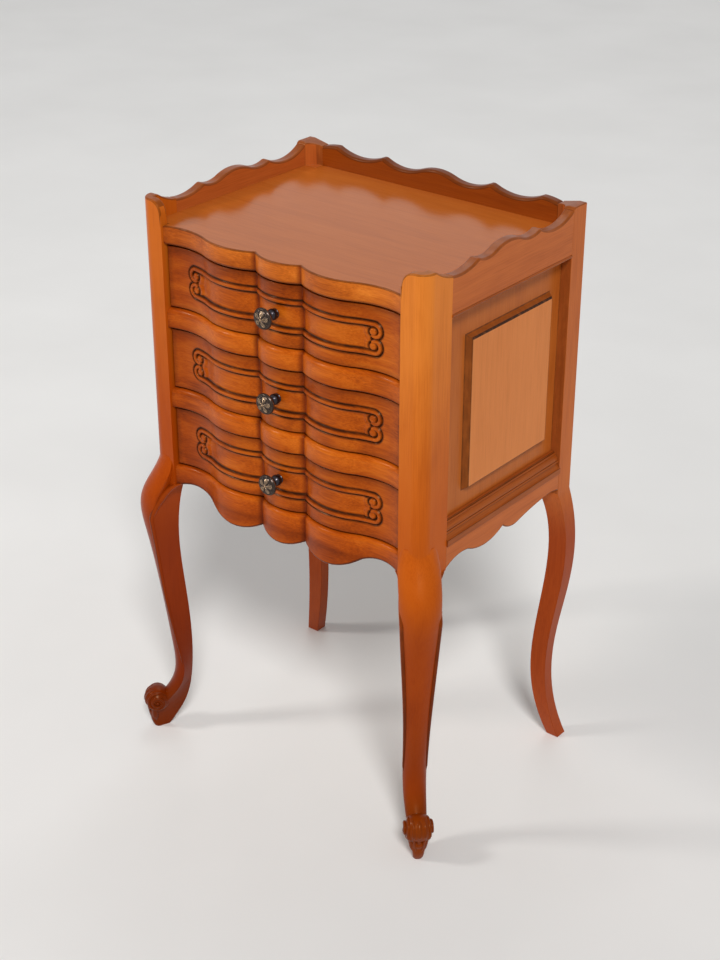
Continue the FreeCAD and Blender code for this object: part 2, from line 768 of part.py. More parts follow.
def tails(count, low, high, root, tip, rising):
    """Points of a row of dovetails between two levels, from root to tip along the board's length."""
    points = []
    for index in range(count) if rising else reversed(range(count)):
        middle = f"({low} + (({high}) - ({low})) * {(index + 0.5) / count})"
        around = [("-", "root"), ("-", "tip"), ("+", "tip"), ("+", "root")]
        for sign, end in around if rising else reversed(around):
            if end == "root":
                points.append((root, f"{middle} {sign} (tail_half - tail_flare)"))
            else:
                points.append((tip, f"{middle} {sign} tail_half"))
    return points


def drawer(name, count):
    """One dovetailed drawer with its carved front, knob and knob screw."""
    base = f"(leg_height + {count} * (drawer_height + rail_height))"
    low, high = f"({base} + front_gap)", f"({base} + drawer_height - front_gap)"
    middle = f"({base} + drawer_height / 2)"
    ends = "(opening_half - front_gap)"
    rim = f"({base} + drawer_height - drawer_rim_gap)"
    floor = f"({base} + bottom_lift)"
    seat = f"({base} + bottom_lift + bottom_thick)"
    back_face = f"({DRAWER_END} - drawer_back_thick)"

    def slab(part, setback):
        plan = serpentine(setback) + [("opening_half", FRONT_BACK), ("-opening_half", FRONT_BACK)]
        return board(f"{name}_{part}", "XY_Plane", plan, low, high)

    cartouche = [
        ("-field_half", f"{middle} - field_rise"),
        ("field_half", f"{middle} - field_rise", "-field_end_bow"),
        ("field_half", middle, "-field_end_bow"),
        ("field_half", f"{middle} + field_rise"),
        ("-field_half", f"{middle} + field_rise", "-field_end_bow"),
        ("-field_half", middle, "-field_end_bow"),
    ]
    prism = board(f"{name}_cartouche", "XZ_Plane", cartouche, f"{FRONT} - {BEYOND}", FRONT_BACK)
    border = join("Cut", f"{name}_border", slab("face", "drawer_setback"), prism)
    sunk = join("Common", f"{name}_sunk", slab("field", "(drawer_setback + field_depth)"), prism)
    carved = join("Fuse", f"{name}_carved", border, sunk)
    trimmed = join("Common", f"{name}_trimmed", carved,
                   box(f"{name}_trim", (f"-{ends}", ends), (f"{FRONT} - {BEYOND}", FRONT_BACK), (low, high)))

    walls = []
    rows = [(FRONT_BACK, base), (DRAWER_END, base), (DRAWER_END, seat), (back_face, seat)]
    rows += tails(REAR_TAIL_COUNT, seat, rim, back_face, DRAWER_END, True)
    rows += [(back_face, rim), (FRONT_BACK, rim)]
    rows += tails(FRONT_TAIL_COUNT, base, rim, FRONT_BACK, f"({FRONT_BACK} - tail_length)", False)
    for hand, side in SIDES.items():
        blank = board(f"{name}_{hand}_wall", "YZ_Plane", rows, *span(side, DRAWER_INNER, DRAWER_SIDE))
        groove = box(f"{name}_{hand}_groove", span(side, DRAWER_INNER, f"{DRAWER_INNER} + bottom_groove"),
                     (FRONT_BACK, DRAWER_END), (floor, seat))
        walls.append(keep(f"{name}_drawer_{hand}_side", join("Cut", f"{name}_{hand}_grooved", blank, groove)))
    pair = doc.addObject("Part::MultiFuse", f"{name}_walls")
    pair.Shapes = walls

    surface = f"({FRONT} + cusp_set - centre_bow + drawer_setback + field_depth)"
    depth = f"({FRONT_BACK} - {surface})"
    drill = turned(f"{name}_drill", [
        (f"-{BEYOND}", "0"),
        (f"-{BEYOND}", "screw_radius + screw_hole_play"),
        (f"{depth} + {BEYOND}", "screw_radius + screw_hole_play"),
        (f"{depth} + {BEYOND}", "0"),
    ])
    place(drill, "0", surface, middle)
    jointed = join("Cut", f"{name}_jointed", trimmed, pair)
    keep(f"{name}_drawer_front", join("Cut", f"{name}_drilled", jointed, drill))

    plank = box(f"{name}_plank", (f"-{DRAWER_SIDE}", DRAWER_SIDE), (back_face, DRAWER_END), (seat, rim))
    keep(f"{name}_drawer_back", join("Cut", f"{name}_back_cut", plank, pair))
    keep(f"{name}_drawer_bottom", box(f"{name}_base", (f"-({DRAWER_INNER} + bottom_groove)",
                                                       f"{DRAWER_INNER} + bottom_groove"),
                                      (FRONT_BACK, DRAWER_END), (floor, seat)))

    bore = "(screw_radius + screw_play)"
    neck = "(knob_head - knob_length)"
    knob = turned(f"{name}_knob_turning", [
        ("0", bore),
        ("0", "knob_base_radius"),
        ("-knob_base", "knob_base_radius"),
        ("-knob_base - knob_fillet", "knob_neck_radius", "-(knob_bead_radius - knob_neck_radius)"),
        (neck, "knob_neck_radius"),
        (f"{neck} - knob_cup", "knob_radius - knob_cup_set"),
        (f"{neck} - knob_rim", "knob_radius"),
        (f"{neck} - knob_rim - knob_edge", "knob_radius", "-knob_dome"),
        ("-knob_length", "knob_button"),
        ("-knob_length", "0"),
        ("-knob_hole_depth", "0"),
        ("-knob_hole_depth", bore),
    ])
    keep(f"{name}_knob", place(knob, "0", surface, middle))
    screw = turned(f"{name}_screw_turning", [
        ("screw_tip_gap - knob_hole_depth", "0"),
        ("screw_tip_gap - knob_hole_depth", "screw_radius"),
        (depth, "screw_radius"),
        (depth, "screw_head_radius"),
        (f"{depth} + screw_head", "screw_head_radius"),
        (f"{depth} + screw_head", "0"),
    ])
    keep(f"{name}_knob_screw", place(screw, "0", surface, middle))


crest = board("side_crest", "YZ_Plane", crest_side(), f"-{OUTER} - {BEYOND}", f"{OUTER} + {BEYOND}")
for name, side in SIDES.items():
    front_leg(name, side, crest)
    rear_leg(name, side, crest)
    side_wall(name, side, crest)
front_frame()
back_frame()
runners()
for count, name in enumerate(("lower", "middle", "upper")):
    drawer(name, count)
doc.recompute()

failed = [item.Label for item in doc.Objects if {"Invalid", "Error"} & set(item.State)]
failed += [item.Label for item in pieces if item.Shape.isNull() or not item.Shape.isValid()]
if failed:
    raise RuntimeError(f"not built: {failed}")

os.makedirs("parts", exist_ok=True)
for piece in pieces:
    piece.Shape.exportStep(f"parts/{piece.Label}.step")
whole = Part.makeCompound([piece.Shape for piece in pieces])
print(len(pieces), "pieces, box", whole.BoundBox)
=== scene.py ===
"""A bedside chest of three drawers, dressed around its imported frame."""

import json
import logging
import math
from collections.abc import Callable
from dataclasses import dataclass, replace
from enum import Enum

import bmesh
import bpy
from mathutils import Matrix, Vector


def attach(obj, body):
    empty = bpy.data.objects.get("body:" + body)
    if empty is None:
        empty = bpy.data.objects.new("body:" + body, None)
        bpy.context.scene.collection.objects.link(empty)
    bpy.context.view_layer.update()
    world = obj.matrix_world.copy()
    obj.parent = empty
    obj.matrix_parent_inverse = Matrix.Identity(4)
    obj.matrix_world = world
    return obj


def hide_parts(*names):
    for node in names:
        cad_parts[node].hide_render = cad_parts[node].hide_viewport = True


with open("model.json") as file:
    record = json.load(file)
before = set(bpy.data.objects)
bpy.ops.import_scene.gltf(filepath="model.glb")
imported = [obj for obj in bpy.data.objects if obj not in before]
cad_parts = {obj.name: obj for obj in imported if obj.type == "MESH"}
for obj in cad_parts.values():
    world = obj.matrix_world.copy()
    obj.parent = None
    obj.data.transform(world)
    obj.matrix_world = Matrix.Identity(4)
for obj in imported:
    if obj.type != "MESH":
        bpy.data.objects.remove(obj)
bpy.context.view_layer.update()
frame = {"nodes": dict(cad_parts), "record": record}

Colour = tuple[float, float, float]
Place = tuple[float, float, float]
Rows = tuple[tuple[float, ...], ...]
Stops = tuple[tuple[float, Colour], ...]
Mesh = bmesh.types.BMesh
Face = bmesh.types.BMFace
Socket = bpy.types.NodeSocket
LOG = logging.getLogger("bedside_chest")
MM = 0.001
SHADE = "shade"
RELIEF = "relief"
LEVELS = ("lower", "middle", "upper")
SIDES = {"left": -1, "right": 1}
HANDS = (-1, 1)
FAR = 1000.0
UPWARDS = Vector((0.0, 0.0, 1.0))
FORWARDS = Vector((0.0, -1.0, 0.0))


def smooth_step(low: float, high: float, value: float) -> float:
    """A soft step from 0 at its low end to 1 at its high end."""
    share = min(1.0, max(0.0, (value - low) / (high - low)))
    return share * share * (3.0 - 2.0 * share)


def bell(value: float, middle: float, width: float) -> float:
    """A soft bump of height 1 about a middle."""
    return math.exp(-((value - middle) / width) ** 2)


def bow_depth(start: Vector, end: Vector, bow: float, x: float) -> float:
    """The height of a shallow arc over its chord's line.

    Args:
        start: The arc's first end, in plan.
        end: Its last end.
        bow: How far its middle stands off the chord, positive to the back.
        x: The place along X.

    Returns:
        The arc's depth there.
    """
    half = (end - start).length / 2.0
    radius = (half * half + bow * bow) / (2.0 * abs(bow))
    middle = (start + end) / 2.0
    normal = Vector((start.y - end.y, end.x - start.x)).normalized()
    centre = middle + normal * (bow - math.copysign(radius, bow))
    reach = math.sqrt(max(0.0, radius * radius - (x - centre.x) ** 2))
    return centre.y + math.copysign(reach, bow)


class Grain(Enum):
    """The direction in which a board's grain runs."""

    ACROSS = (1.0, 0.0, 0.0)
    INWARDS = (0.0, 1.0, 0.0)
    UPRIGHT = (0.0, 0.0, 1.0)


def add_object(name: str, data: bpy.types.ID) -> bpy.types.Object:
    """Makes an object of its data and takes it into the scene.

    Args:
        name: The object's name.
        data: A mesh, a light or a camera.

    Returns:
        The object.
    """
    made = bpy.data.objects.new(name, data)
    bpy.context.scene.collection.objects.link(made)
    return made


class Graph:
    """The nodes of a material or of the sky, added one after another."""

    def __init__(self, tree: bpy.types.NodeTree, shader: str) -> None:
        """Takes up a tree of nodes.

        Args:
            tree: The nodes.
            shader: The name of the shader among them.
        """
        self.tree = tree
        self.shader = tree.nodes[shader]

    def plug(self, socket: Socket, value: object) -> None:
        """Gives an input a value, a colour or a link.

        Args:
            socket: The input.
            value: A value, a colour, or another node's output.
        """
        if isinstance(value, Socket):
            self.tree.links.new(value, socket)
        else:
            socket.default_value = (*value, 1.0) if socket.type == "RGBA" else value

    def plug_all(self, node: bpy.types.Node, values: dict[str, object]) -> None:
        """Sets a node's properties, whose names are in lower case, and its inputs.

        Args:
            node: The node.
            values: What each gets, by name; an input's name has underscores for spaces.
        """
        for name, value in values.items():
            if name.islower():
                setattr(node, name, value)
            else:
                self.plug(node.inputs[name.replace("_", " ")], value)

    def add(self, kind: str, **values: object) -> bpy.types.Node:
        """Adds a node.

        Args:
            kind: The node's type.
            values: Its properties and inputs by name.

        Returns:
            The node.
        """
        node = self.tree.nodes.new(f"ShaderNode{kind}")
        self.plug_all(node, values)
        return node

    def surface(self, **values: object) -> None:
        """Sets the shader's inputs by name."""
        self.plug_all(self.shader, values)

    def place(self) -> Socket:
        """The piece's own coordinates."""
        return self.add("TexCoord").outputs["Object"]

    def attribute(self, name: str) -> Socket:
        """What the mesh holds under a name."""
        return self.add("Attribute", attribute_name=name).outputs["Fac"]

    def noise(self, place: Socket, **values: float) -> Socket:
        """Noise about a place, with the node's inputs by name."""
        return self.add("TexNoise", Vector=place, **values).outputs["Fac"]

    def math(self, operation: str, first: object, second: object = 0.0, clamp: bool = False) -> Socket:
        """One step of arithmetic.

        Args:
            operation: What is done.
            first: A value or an output.
            second: Another, if the operation takes two.
            clamp: Whether the result is kept from 0 to 1.

        Returns:
            The result's output.
        """
        node = self.add("Math", operation=operation, use_clamp=clamp)
        for socket, value in zip(node.inputs, (first, second)):
            self.plug(socket, value)
        return node.outputs[0]

    def span(self, source: Socket, low: float, high: float, start: float = 0.0,
             end: float = 1.0) -> Socket:
        """A soft change from one value at a low place to another at a high one."""
        ends = {"From_Min": low, "From_Max": high, "To_Min": start, "To_Max": end}
        return self.add("MapRange", interpolation_type="SMOOTHSTEP", Value=source, **ends).outputs["Result"]

    def ramp(self, source: Socket, stops: Stops) -> Socket:
        """A colour ramp.

        Args:
            source: What drives the ramp.
            stops: Places and colours.

        Returns:
            The ramp's colour.
        """
        node = self.add("ValToRGB", Fac=source)
        elements = node.color_ramp.elements
        while len(elements) < len(stops):
            elements.new(0.5)
        for element, (place, colour) in zip(elements, stops):
            element.position = place
            element.color = (*colour, 1.0)
        return node.outputs["Color"]

    def mix(self, share: object, first: object, second: object, kind: str = "MIX") -> Socket:
        """A mix of two colours.

        Args:
            share: How much of the second.
            first: The first colour.
            second: The second colour.
            kind: How the second is laid over the first.

        Returns:
            The mixed colour.
        """
        node = self.add("Mix", data_type="RGBA", blend_type=kind)
        for index, value in ((0, share), (6, first), (7, second)):
            self.plug(node.inputs[index], value)
        return node.outputs[2]

    def roughen(self, noise: Socket, roughness: float, tooth: tuple[float, float, float]) -> None:
        """Lets one noise vary the shader's roughness and raise its bump.

        Args:
            noise: The noise.
            roughness: The middle roughness.
            tooth: How far the roughness strays, the bump's strength, and its depth in metres.
        """
        stray, strength, depth = tooth
        uneven = self.add("MapRange", Value=noise, To_Min=roughness - stray, To_Max=roughness + stray)
        raised = self.add("Bump", Height=noise, Strength=strength, Distance=depth)
        self.surface(Roughness=uneven.outputs["Result"], Normal=raised.outputs["Normal"])


class Finish:
    """A finish, whose material is made at its first use."""

    name: str

    def material(self) -> bpy.types.Material:
        """Finds the finish's material, or makes it.

        Returns:
            The material.
        """
        found = bpy.data.materials.get(self.name)
        if not found:
            found = bpy.data.materials.new(self.name)
            found.use_nodes = True
            self.paint(Graph(found.node_tree, "Principled BSDF"))
        return found

    def paint(self, graph: Graph) -> None:
        """Adds the nodes; each kind of finish has its own."""
        raise NotImplementedError


class Axis(Enum):
    """An axis along which a finish changes."""

    ACROSS = "X"
    UP = "Z"


@dataclass(frozen=True)
class Tint:
    """A colour that deepens one end of a piece, between two places in metres along an axis."""

    axis: Axis
    full: float
    none: float
    colour: Colour


@dataclass(frozen=True)
class CourseShading:
    """How the front's painted light and shade repeats from drawer to drawer, in metres: painted shade on each
    drawer's top border under its rail and in the front's creases, and a painted highlight along each rail's
    rounded top.
    """

    foot: float = 0.390
    step: float = 0.1012
    crease: float = 0.0325
    crease_width: float = 0.006
    # Painted shade along the front's two creases.
    crease_shade: Colour = (0.45, 0.30, 0.22)
    # Painted light and shade by height within each drawer's course: darkest on the drawer's top border under
    # the rail, a painted highlight on the rail's rounded top.
    light_and_shade: Stops = (
        (0.0, (0.74, 0.66, 0.55)), (0.06, (0.84, 0.80, 0.75)), (0.45, (0.86, 0.82, 0.78)),
        (0.62, (0.74, 0.66, 0.57)), (0.755, (0.54, 0.44, 0.34)), (0.79, (0.76, 0.68, 0.58)),
        (0.88, (1.0, 1.0, 1.0)), (1.0, (0.92, 0.88, 0.8)))


@dataclass(frozen=True)
class Streaks:
    """Noise that is stretched along the grain, with its repeats per metre along and across it."""

    along: float
    across: float
    detail: float
    roughness: float
    distortion: float = 0.0


FIGURE = Streaks(4.0, 60.0, 4.0, 0.5, 0.7)
FIBRE = Streaks(22.0, 800.0, 4.0, 0.62)
FLAME = Streaks(8.0, 15.0, 2.5, 0.5, 1.6)
WORN = Streaks(55.0, 160.0, 3.0, 0.6)


@dataclass(frozen=True)
class WoodFinish(Finish):
    """Lacquered or bare wood, with its grain along one direction.

    Figure and fibre lie along the grain, the flame crosses it in soft blocks, and what is carved or eased is
    darker: mostly painted shade in grooves, gaps and under edges, with some stain and wear.
    """

    name: str
    grain: Grain
    light: Colour
    mid: Colour
    dark: Colour
    # The colour mixed in by the shade attribute: mostly painted shade, with some stain in grooves and wear on
    # the crest.
    groove: Colour = (0.032, 0.006, 0.002)
    roughness: float = 0.32
    coat: float = 0.05
    coat_roughness: float = 0.18
    shine: float = 0.24
    varnish: Colour = (1.0, 0.58, 0.22)
    figure: float = 0.34
    fibre: float = 0.34
    flame: float = 0.26
    reach: float = 0.17
    worn: tuple[float, ...] = (0.3, 0.6, 0.84, 1.1)
    tooth: tuple[float, float, float] = (0.07, 0.10, 0.0004)
    tints: tuple[Tint, ...] = ()
    course_shading: CourseShading | None = None

    def streaks(self, graph: Graph, kind: Streaks) -> Socket:
        """Noise along the grain.

        Args:
            graph: The material's nodes.
            kind: How the noise is stretched.

        Returns:
            The noise.
        """
        scale = [kind.along if axis else kind.across for axis in self.grain.value]
        place = graph.add("Mapping", Vector=graph.place(), Scale=scale).outputs["Vector"]
        return graph.noise(place, Scale=1.0, Detail=kind.detail, Roughness=kind.roughness,
                           Distortion=kind.distortion)

    def deepen(self, graph: Graph, wood: Socket) -> Socket:
        """Darkens the wood towards one end, paints shade in the front's creases and under each of its rails,
        and leaves a painted highlight along each rail's top.

        Args:
            graph: The material's nodes.
            wood: The wood's colour.

        Returns:
            The deepened colour.
        """
        place = graph.add("SeparateXYZ", Vector=graph.place()).outputs
        for tint in self.tints:
            share = graph.span(place[tint.axis.value], tint.full, tint.none, 1.0, 0.0)
            wood = graph.mix(share, wood, tint.colour, "MULTIPLY")
        # Painted shade in the creases, then painted light and shade course by course.
        if self.course_shading:
            away = graph.math("SUBTRACT", graph.math("ABSOLUTE", place["X"]), self.course_shading.crease)
            share = graph.span(graph.math("ABSOLUTE", away), 0.0, self.course_shading.crease_width, 1.0, 0.0)
            wood = graph.mix(share, wood, self.course_shading.crease_shade, "MULTIPLY")
            rise = graph.math("SUBTRACT", place["Z"], self.course_shading.foot)
            course = graph.math("FRACT", graph.math("DIVIDE", rise, self.course_shading.step))
            wood = graph.mix(1.0, wood, graph.ramp(course, self.course_shading.light_and_shade), "MULTIPLY")
        return wood

    def paint(self, graph: Graph) -> None:
        """Lays the streaks over each other, then the tints and the front's painted light and shade, then the
        dark of what is carved or eased, mostly painted shade.

        Args:
            graph: The material's nodes.
        """
        fibre = self.streaks(graph, FIBRE)
        layers = ((self.streaks(graph, FIGURE), self.figure), (fibre, self.fibre),
                  (self.streaks(graph, FLAME), self.flame))
        tone = 0.0
        for layer, share in layers:
            tone = graph.math("ADD", tone, graph.math("MULTIPLY", layer, share))
        middle = (self.figure + self.fibre + self.flame) / 2.0
        stops = ((middle - self.reach, self.dark), (middle, self.mid), (middle + self.reach, self.light))
        wood = self.deepen(graph, graph.ramp(tone, stops))
        # Painted shade, stain and wear from the shade attribute, made patchy by the worn noise.
        worn = graph.span(self.streaks(graph, WORN), *self.worn)
        depth = graph.math("MULTIPLY", graph.attribute(SHADE), worn, True)
        graph.roughen(fibre, self.roughness, self.tooth)
        graph.surface(Base_Color=graph.mix(depth, wood, self.groove), Coat_Weight=self.coat,
                      Coat_Roughness=self.coat_roughness, Specular_IOR_Level=self.shine,
                      Specular_Tint=self.varnish)


@dataclass(frozen=True)
class MetalFinish(Finish):
    """Metal that is dark in its hollows and bright on what stands proud."""

    name: str
    hollow: Colour
    proud: Colour
    roughness: float
    metallic: float = 0.9
    patina: float = 0.5
    patina_scale: float = 420.0
    patina_roughness: float = 0.6
    hollow_to: float = 0.45
    proud_from: float = 1.35
    tooth: tuple[float, float, float] = (0.1, 0.15, 0.0003)

    def paint(self, graph: Graph) -> None:
        """Mixes hollow and proud metal by the mesh's relief and a fine patina.

        Args:
            graph: The material's nodes.
        """
        patina = graph.noise(graph.place(), Scale=self.patina_scale, Detail=5.0,
                             Roughness=self.patina_roughness)
        share = graph.math("ADD", graph.attribute(RELIEF), graph.math("MULTIPLY", patina, self.patina))
        bright = graph.span(share, self.hollow_to, self.proud_from)
        graph.roughen(patina, self.roughness, self.tooth)
        graph.surface(Base_Color=graph.mix(bright, self.hollow, self.proud), Metallic=self.metallic)


@dataclass(frozen=True)
class FloorFinish(Finish):
    """Plain pale floor with the faintest mottling."""

    name: str = "pale_floor"
    stops: Stops = ((0.3, (0.82, 0.81, 0.79)), (0.7, (0.86, 0.85, 0.83)))
    roughness: float = 0.7
    mottle: float = 3.0

    def paint(self, graph: Graph) -> None:
        """Mottles the floor's colour.

        Args:
            graph: The material's nodes.
        """
        mottle = graph.noise(graph.place(), Scale=self.mottle, Detail=3.0)
        graph.surface(Base_Color=graph.ramp(mottle, self.stops), Roughness=self.roughness)


# The front posts and legs darken towards the floor: partly the leg's own deeper tone, partly painted shade
# where less light reaches them. FOOT_TINT takes some red out of the foot.
POST_TINT = Tint(Axis.UP, 0.40, 0.70, (0.70, 0.46, 0.20))
LEG_TINT = Tint(Axis.UP, 0.27, 0.40, (0.63, 0.46, 0.3))
SHIN_TINT = Tint(Axis.UP, 0.10, 0.25, (0.74, 0.66, 0.5))
FOOT_TINT = Tint(Axis.UP, 0.05, 0.085, (0.82, 1.0, 1.0))
# Painted shade on the rear legs below the case.
REAR_UNDERSHADE = Tint(Axis.UP, 0.29, 0.385, (0.66, 0.39, 0.22))
# Painted shade low on the front, over the apron and the lowest drawer's lower part.
LOW_FRONT_SHADE = Tint(Axis.UP, 0.37, 0.45, (0.88, 0.78, 0.6))
# Painted shade over the left front post and leg.
LEFT_POST_SHADE = Tint(Axis.ACROSS, -0.16, -0.10, (0.76, 0.58, 0.3))
END_TINT = Tint(Axis.ACROSS, -0.165, -0.085, (0.74, 0.62, 0.5))
FRONT_WOOD = WoodFinish("front_wood", Grain.ACROSS, (0.75, 0.190, 0.013), (0.52, 0.096, 0.004),
                        (0.21, 0.027, 0.002), shine=0.19, tints=(LOW_FRONT_SHADE, END_TINT), course_shading=CourseShading())
EDGE_WOOD = WoodFinish("top_edge_wood", Grain.ACROSS, (0.84, 0.250, 0.030), (0.62, 0.145, 0.012),
                       (0.30, 0.046, 0.003), tints=(END_TINT,), course_shading=CourseShading())
TOP_WOOD = WoodFinish("top_wood", Grain.ACROSS, (0.55, 0.152, 0.023), (0.475, 0.118, 0.015),
                      (0.355, 0.080, 0.0085), roughness=0.16, coat=0.0, shine=0.34, figure=0.2, flame=0.08)
SIDE_WOOD = WoodFinish("side_wood", Grain.UPRIGHT, (0.76, 0.250, 0.062), (0.69, 0.215, 0.050),
                       (0.54, 0.150, 0.026), figure=0.18, flame=0.08)
BORDER_WOOD = WoodFinish("panel_border_wood", Grain.UPRIGHT, (0.56, 0.160, 0.026), (0.48, 0.122, 0.018),
                         (0.34, 0.072, 0.008), figure=0.2, flame=0.16)
MOULD_WOOD = WoodFinish("moulding_wood", Grain.INWARDS, (0.44, 0.105, 0.016), (0.34, 0.074, 0.010),
                        (0.21, 0.038, 0.004), figure=0.26, flame=0.1)
RAIL_WOOD = WoodFinish("side_rail_wood", Grain.INWARDS, (0.62, 0.162, 0.030), (0.52, 0.122, 0.022),
                       (0.36, 0.070, 0.008), figure=0.22, flame=0.12)
# The back gallery's colour is darkened as painted shade on its inner face.
BACK_SHADED_WOOD = WoodFinish("back_gallery_wood", Grain.ACROSS, (0.38, 0.085, 0.009), (0.29, 0.056, 0.005),
                       (0.19, 0.032, 0.003), shine=0.16, figure=0.26, flame=0.1)
POST_WOOD = WoodFinish("post_wood", Grain.UPRIGHT, (0.83, 0.265, 0.043), (0.75, 0.214, 0.028),
                       (0.50, 0.108, 0.010), shine=0.15, figure=0.15, fibre=0.20, flame=0.16,
                       tints=(POST_TINT, LEG_TINT, SHIN_TINT, FOOT_TINT, LEFT_POST_SHADE))
REAR_WOOD = WoodFinish("rear_post_wood", Grain.UPRIGHT, (0.64, 0.172, 0.030), (0.53, 0.128, 0.024),
                       (0.36, 0.071, 0.010), shine=0.16, figure=0.26, flame=0.08, tints=(REAR_UNDERSHADE,))
BARE_WOOD = WoodFinish("bare_wood", Grain.INWARDS, (0.66, 0.46, 0.26), (0.56, 0.37, 0.19),
                       (0.42, 0.26, 0.12), roughness=0.62, coat=0.0, flame=0.15)
BARE_ACROSS = replace(BARE_WOOD, name="bare_wood_across", grain=Grain.ACROSS)
BRASS = MetalFinish("antique_brass", (0.050, 0.036, 0.030), (0.50, 0.34, 0.21), 0.24)
DARK_BRASS = MetalFinish("dark_brass", (0.045, 0.040, 0.046), (0.120, 0.108, 0.118), 0.28)
ZINC = MetalFinish("zinc", (0.40, 0.40, 0.41), (0.62, 0.62, 0.63), 0.36, 1.0)


@dataclass(frozen=True)
class Case:
    """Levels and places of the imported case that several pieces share, in millimetres."""

    front: float = -140.0
    outer: float = 202.0
    post_depth: float = 46.0
    rear_front: float = 132.0
    leg: float = 390.0
    step: float = 101.2
    drawer: float = 76.8
    top: float = 691.8
    gallery_foot: float = 661.8
    crest: float = 697.0

    def middle(self, count: int) -> float:
        """The mid-height of a drawer, counted from the lowest."""
        return self.leg + count * self.step + self.drawer / 2.0


CASE = Case()


@dataclass(frozen=True)
class FrontCurve:
    """The chest's serpentine front in plan, in millimetres behind the posts' front."""

    front: float = CASE.front
    half: float = 170.0
    returned: float = 3.0
    turn: float = 105.0
    swell: float = 1.0
    hollow_bow: float = 6.3
    lobe_bow: float = 8.6
    cusp_half: float = 32.5
    cusp: float = 4.5
    centre_bow: float = 10.5

    def depth(self, x: float) -> float:
        """The front's depth at a place across it.

        Args:
            x: The place, from the middle.

        Returns:
            Y in millimetres.
        """
        x = abs(x)
        cusp = Vector((self.cusp_half, self.cusp))
        turn = Vector((self.turn, self.swell))
        if x <= self.cusp_half:
            start, end, bow = Vector((-self.cusp_half, self.cusp)), cusp, -self.centre_bow
        elif x <= self.turn:
            start, end, bow = cusp, turn, -self.lobe_bow
        else:
            start, end, bow = turn, Vector((self.half, self.returned)), self.hollow_bow
        return self.front + bow_depth(start, end, bow, x)


@dataclass(frozen=True)
class Zone:
    """A box in millimetres that picks the edges inside it."""

    x: tuple[float, float] = (-FAR, FAR)
    y: tuple[float, float] = (-FAR, FAR)
    z: tuple[float, float] = (-FAR, FAR)

    def holds(self, edge: bmesh.types.BMEdge) -> bool:
        """Whether both of an edge's ends are in the box."""
        pairs = [pair for vert in edge.verts for pair in zip(vert.co, (self.x, self.y, self.z))]
        return all(low <= value / MM <= high for value, (low, high) in pairs)


@dataclass(frozen=True)
class Easing:
    """Which edges are rounded, how much, and how dark they are: painted shade where an edge turns under or
    meets a gap, dark wear on the crest.
    """

    radius: float
    zone: Zone = Zone()
    segments: int = 3
    shade: float = 0.35


HAIRLINE = Easing(0.4)
FINE = Easing(0.5)
PLAIN = Easing(0.6)


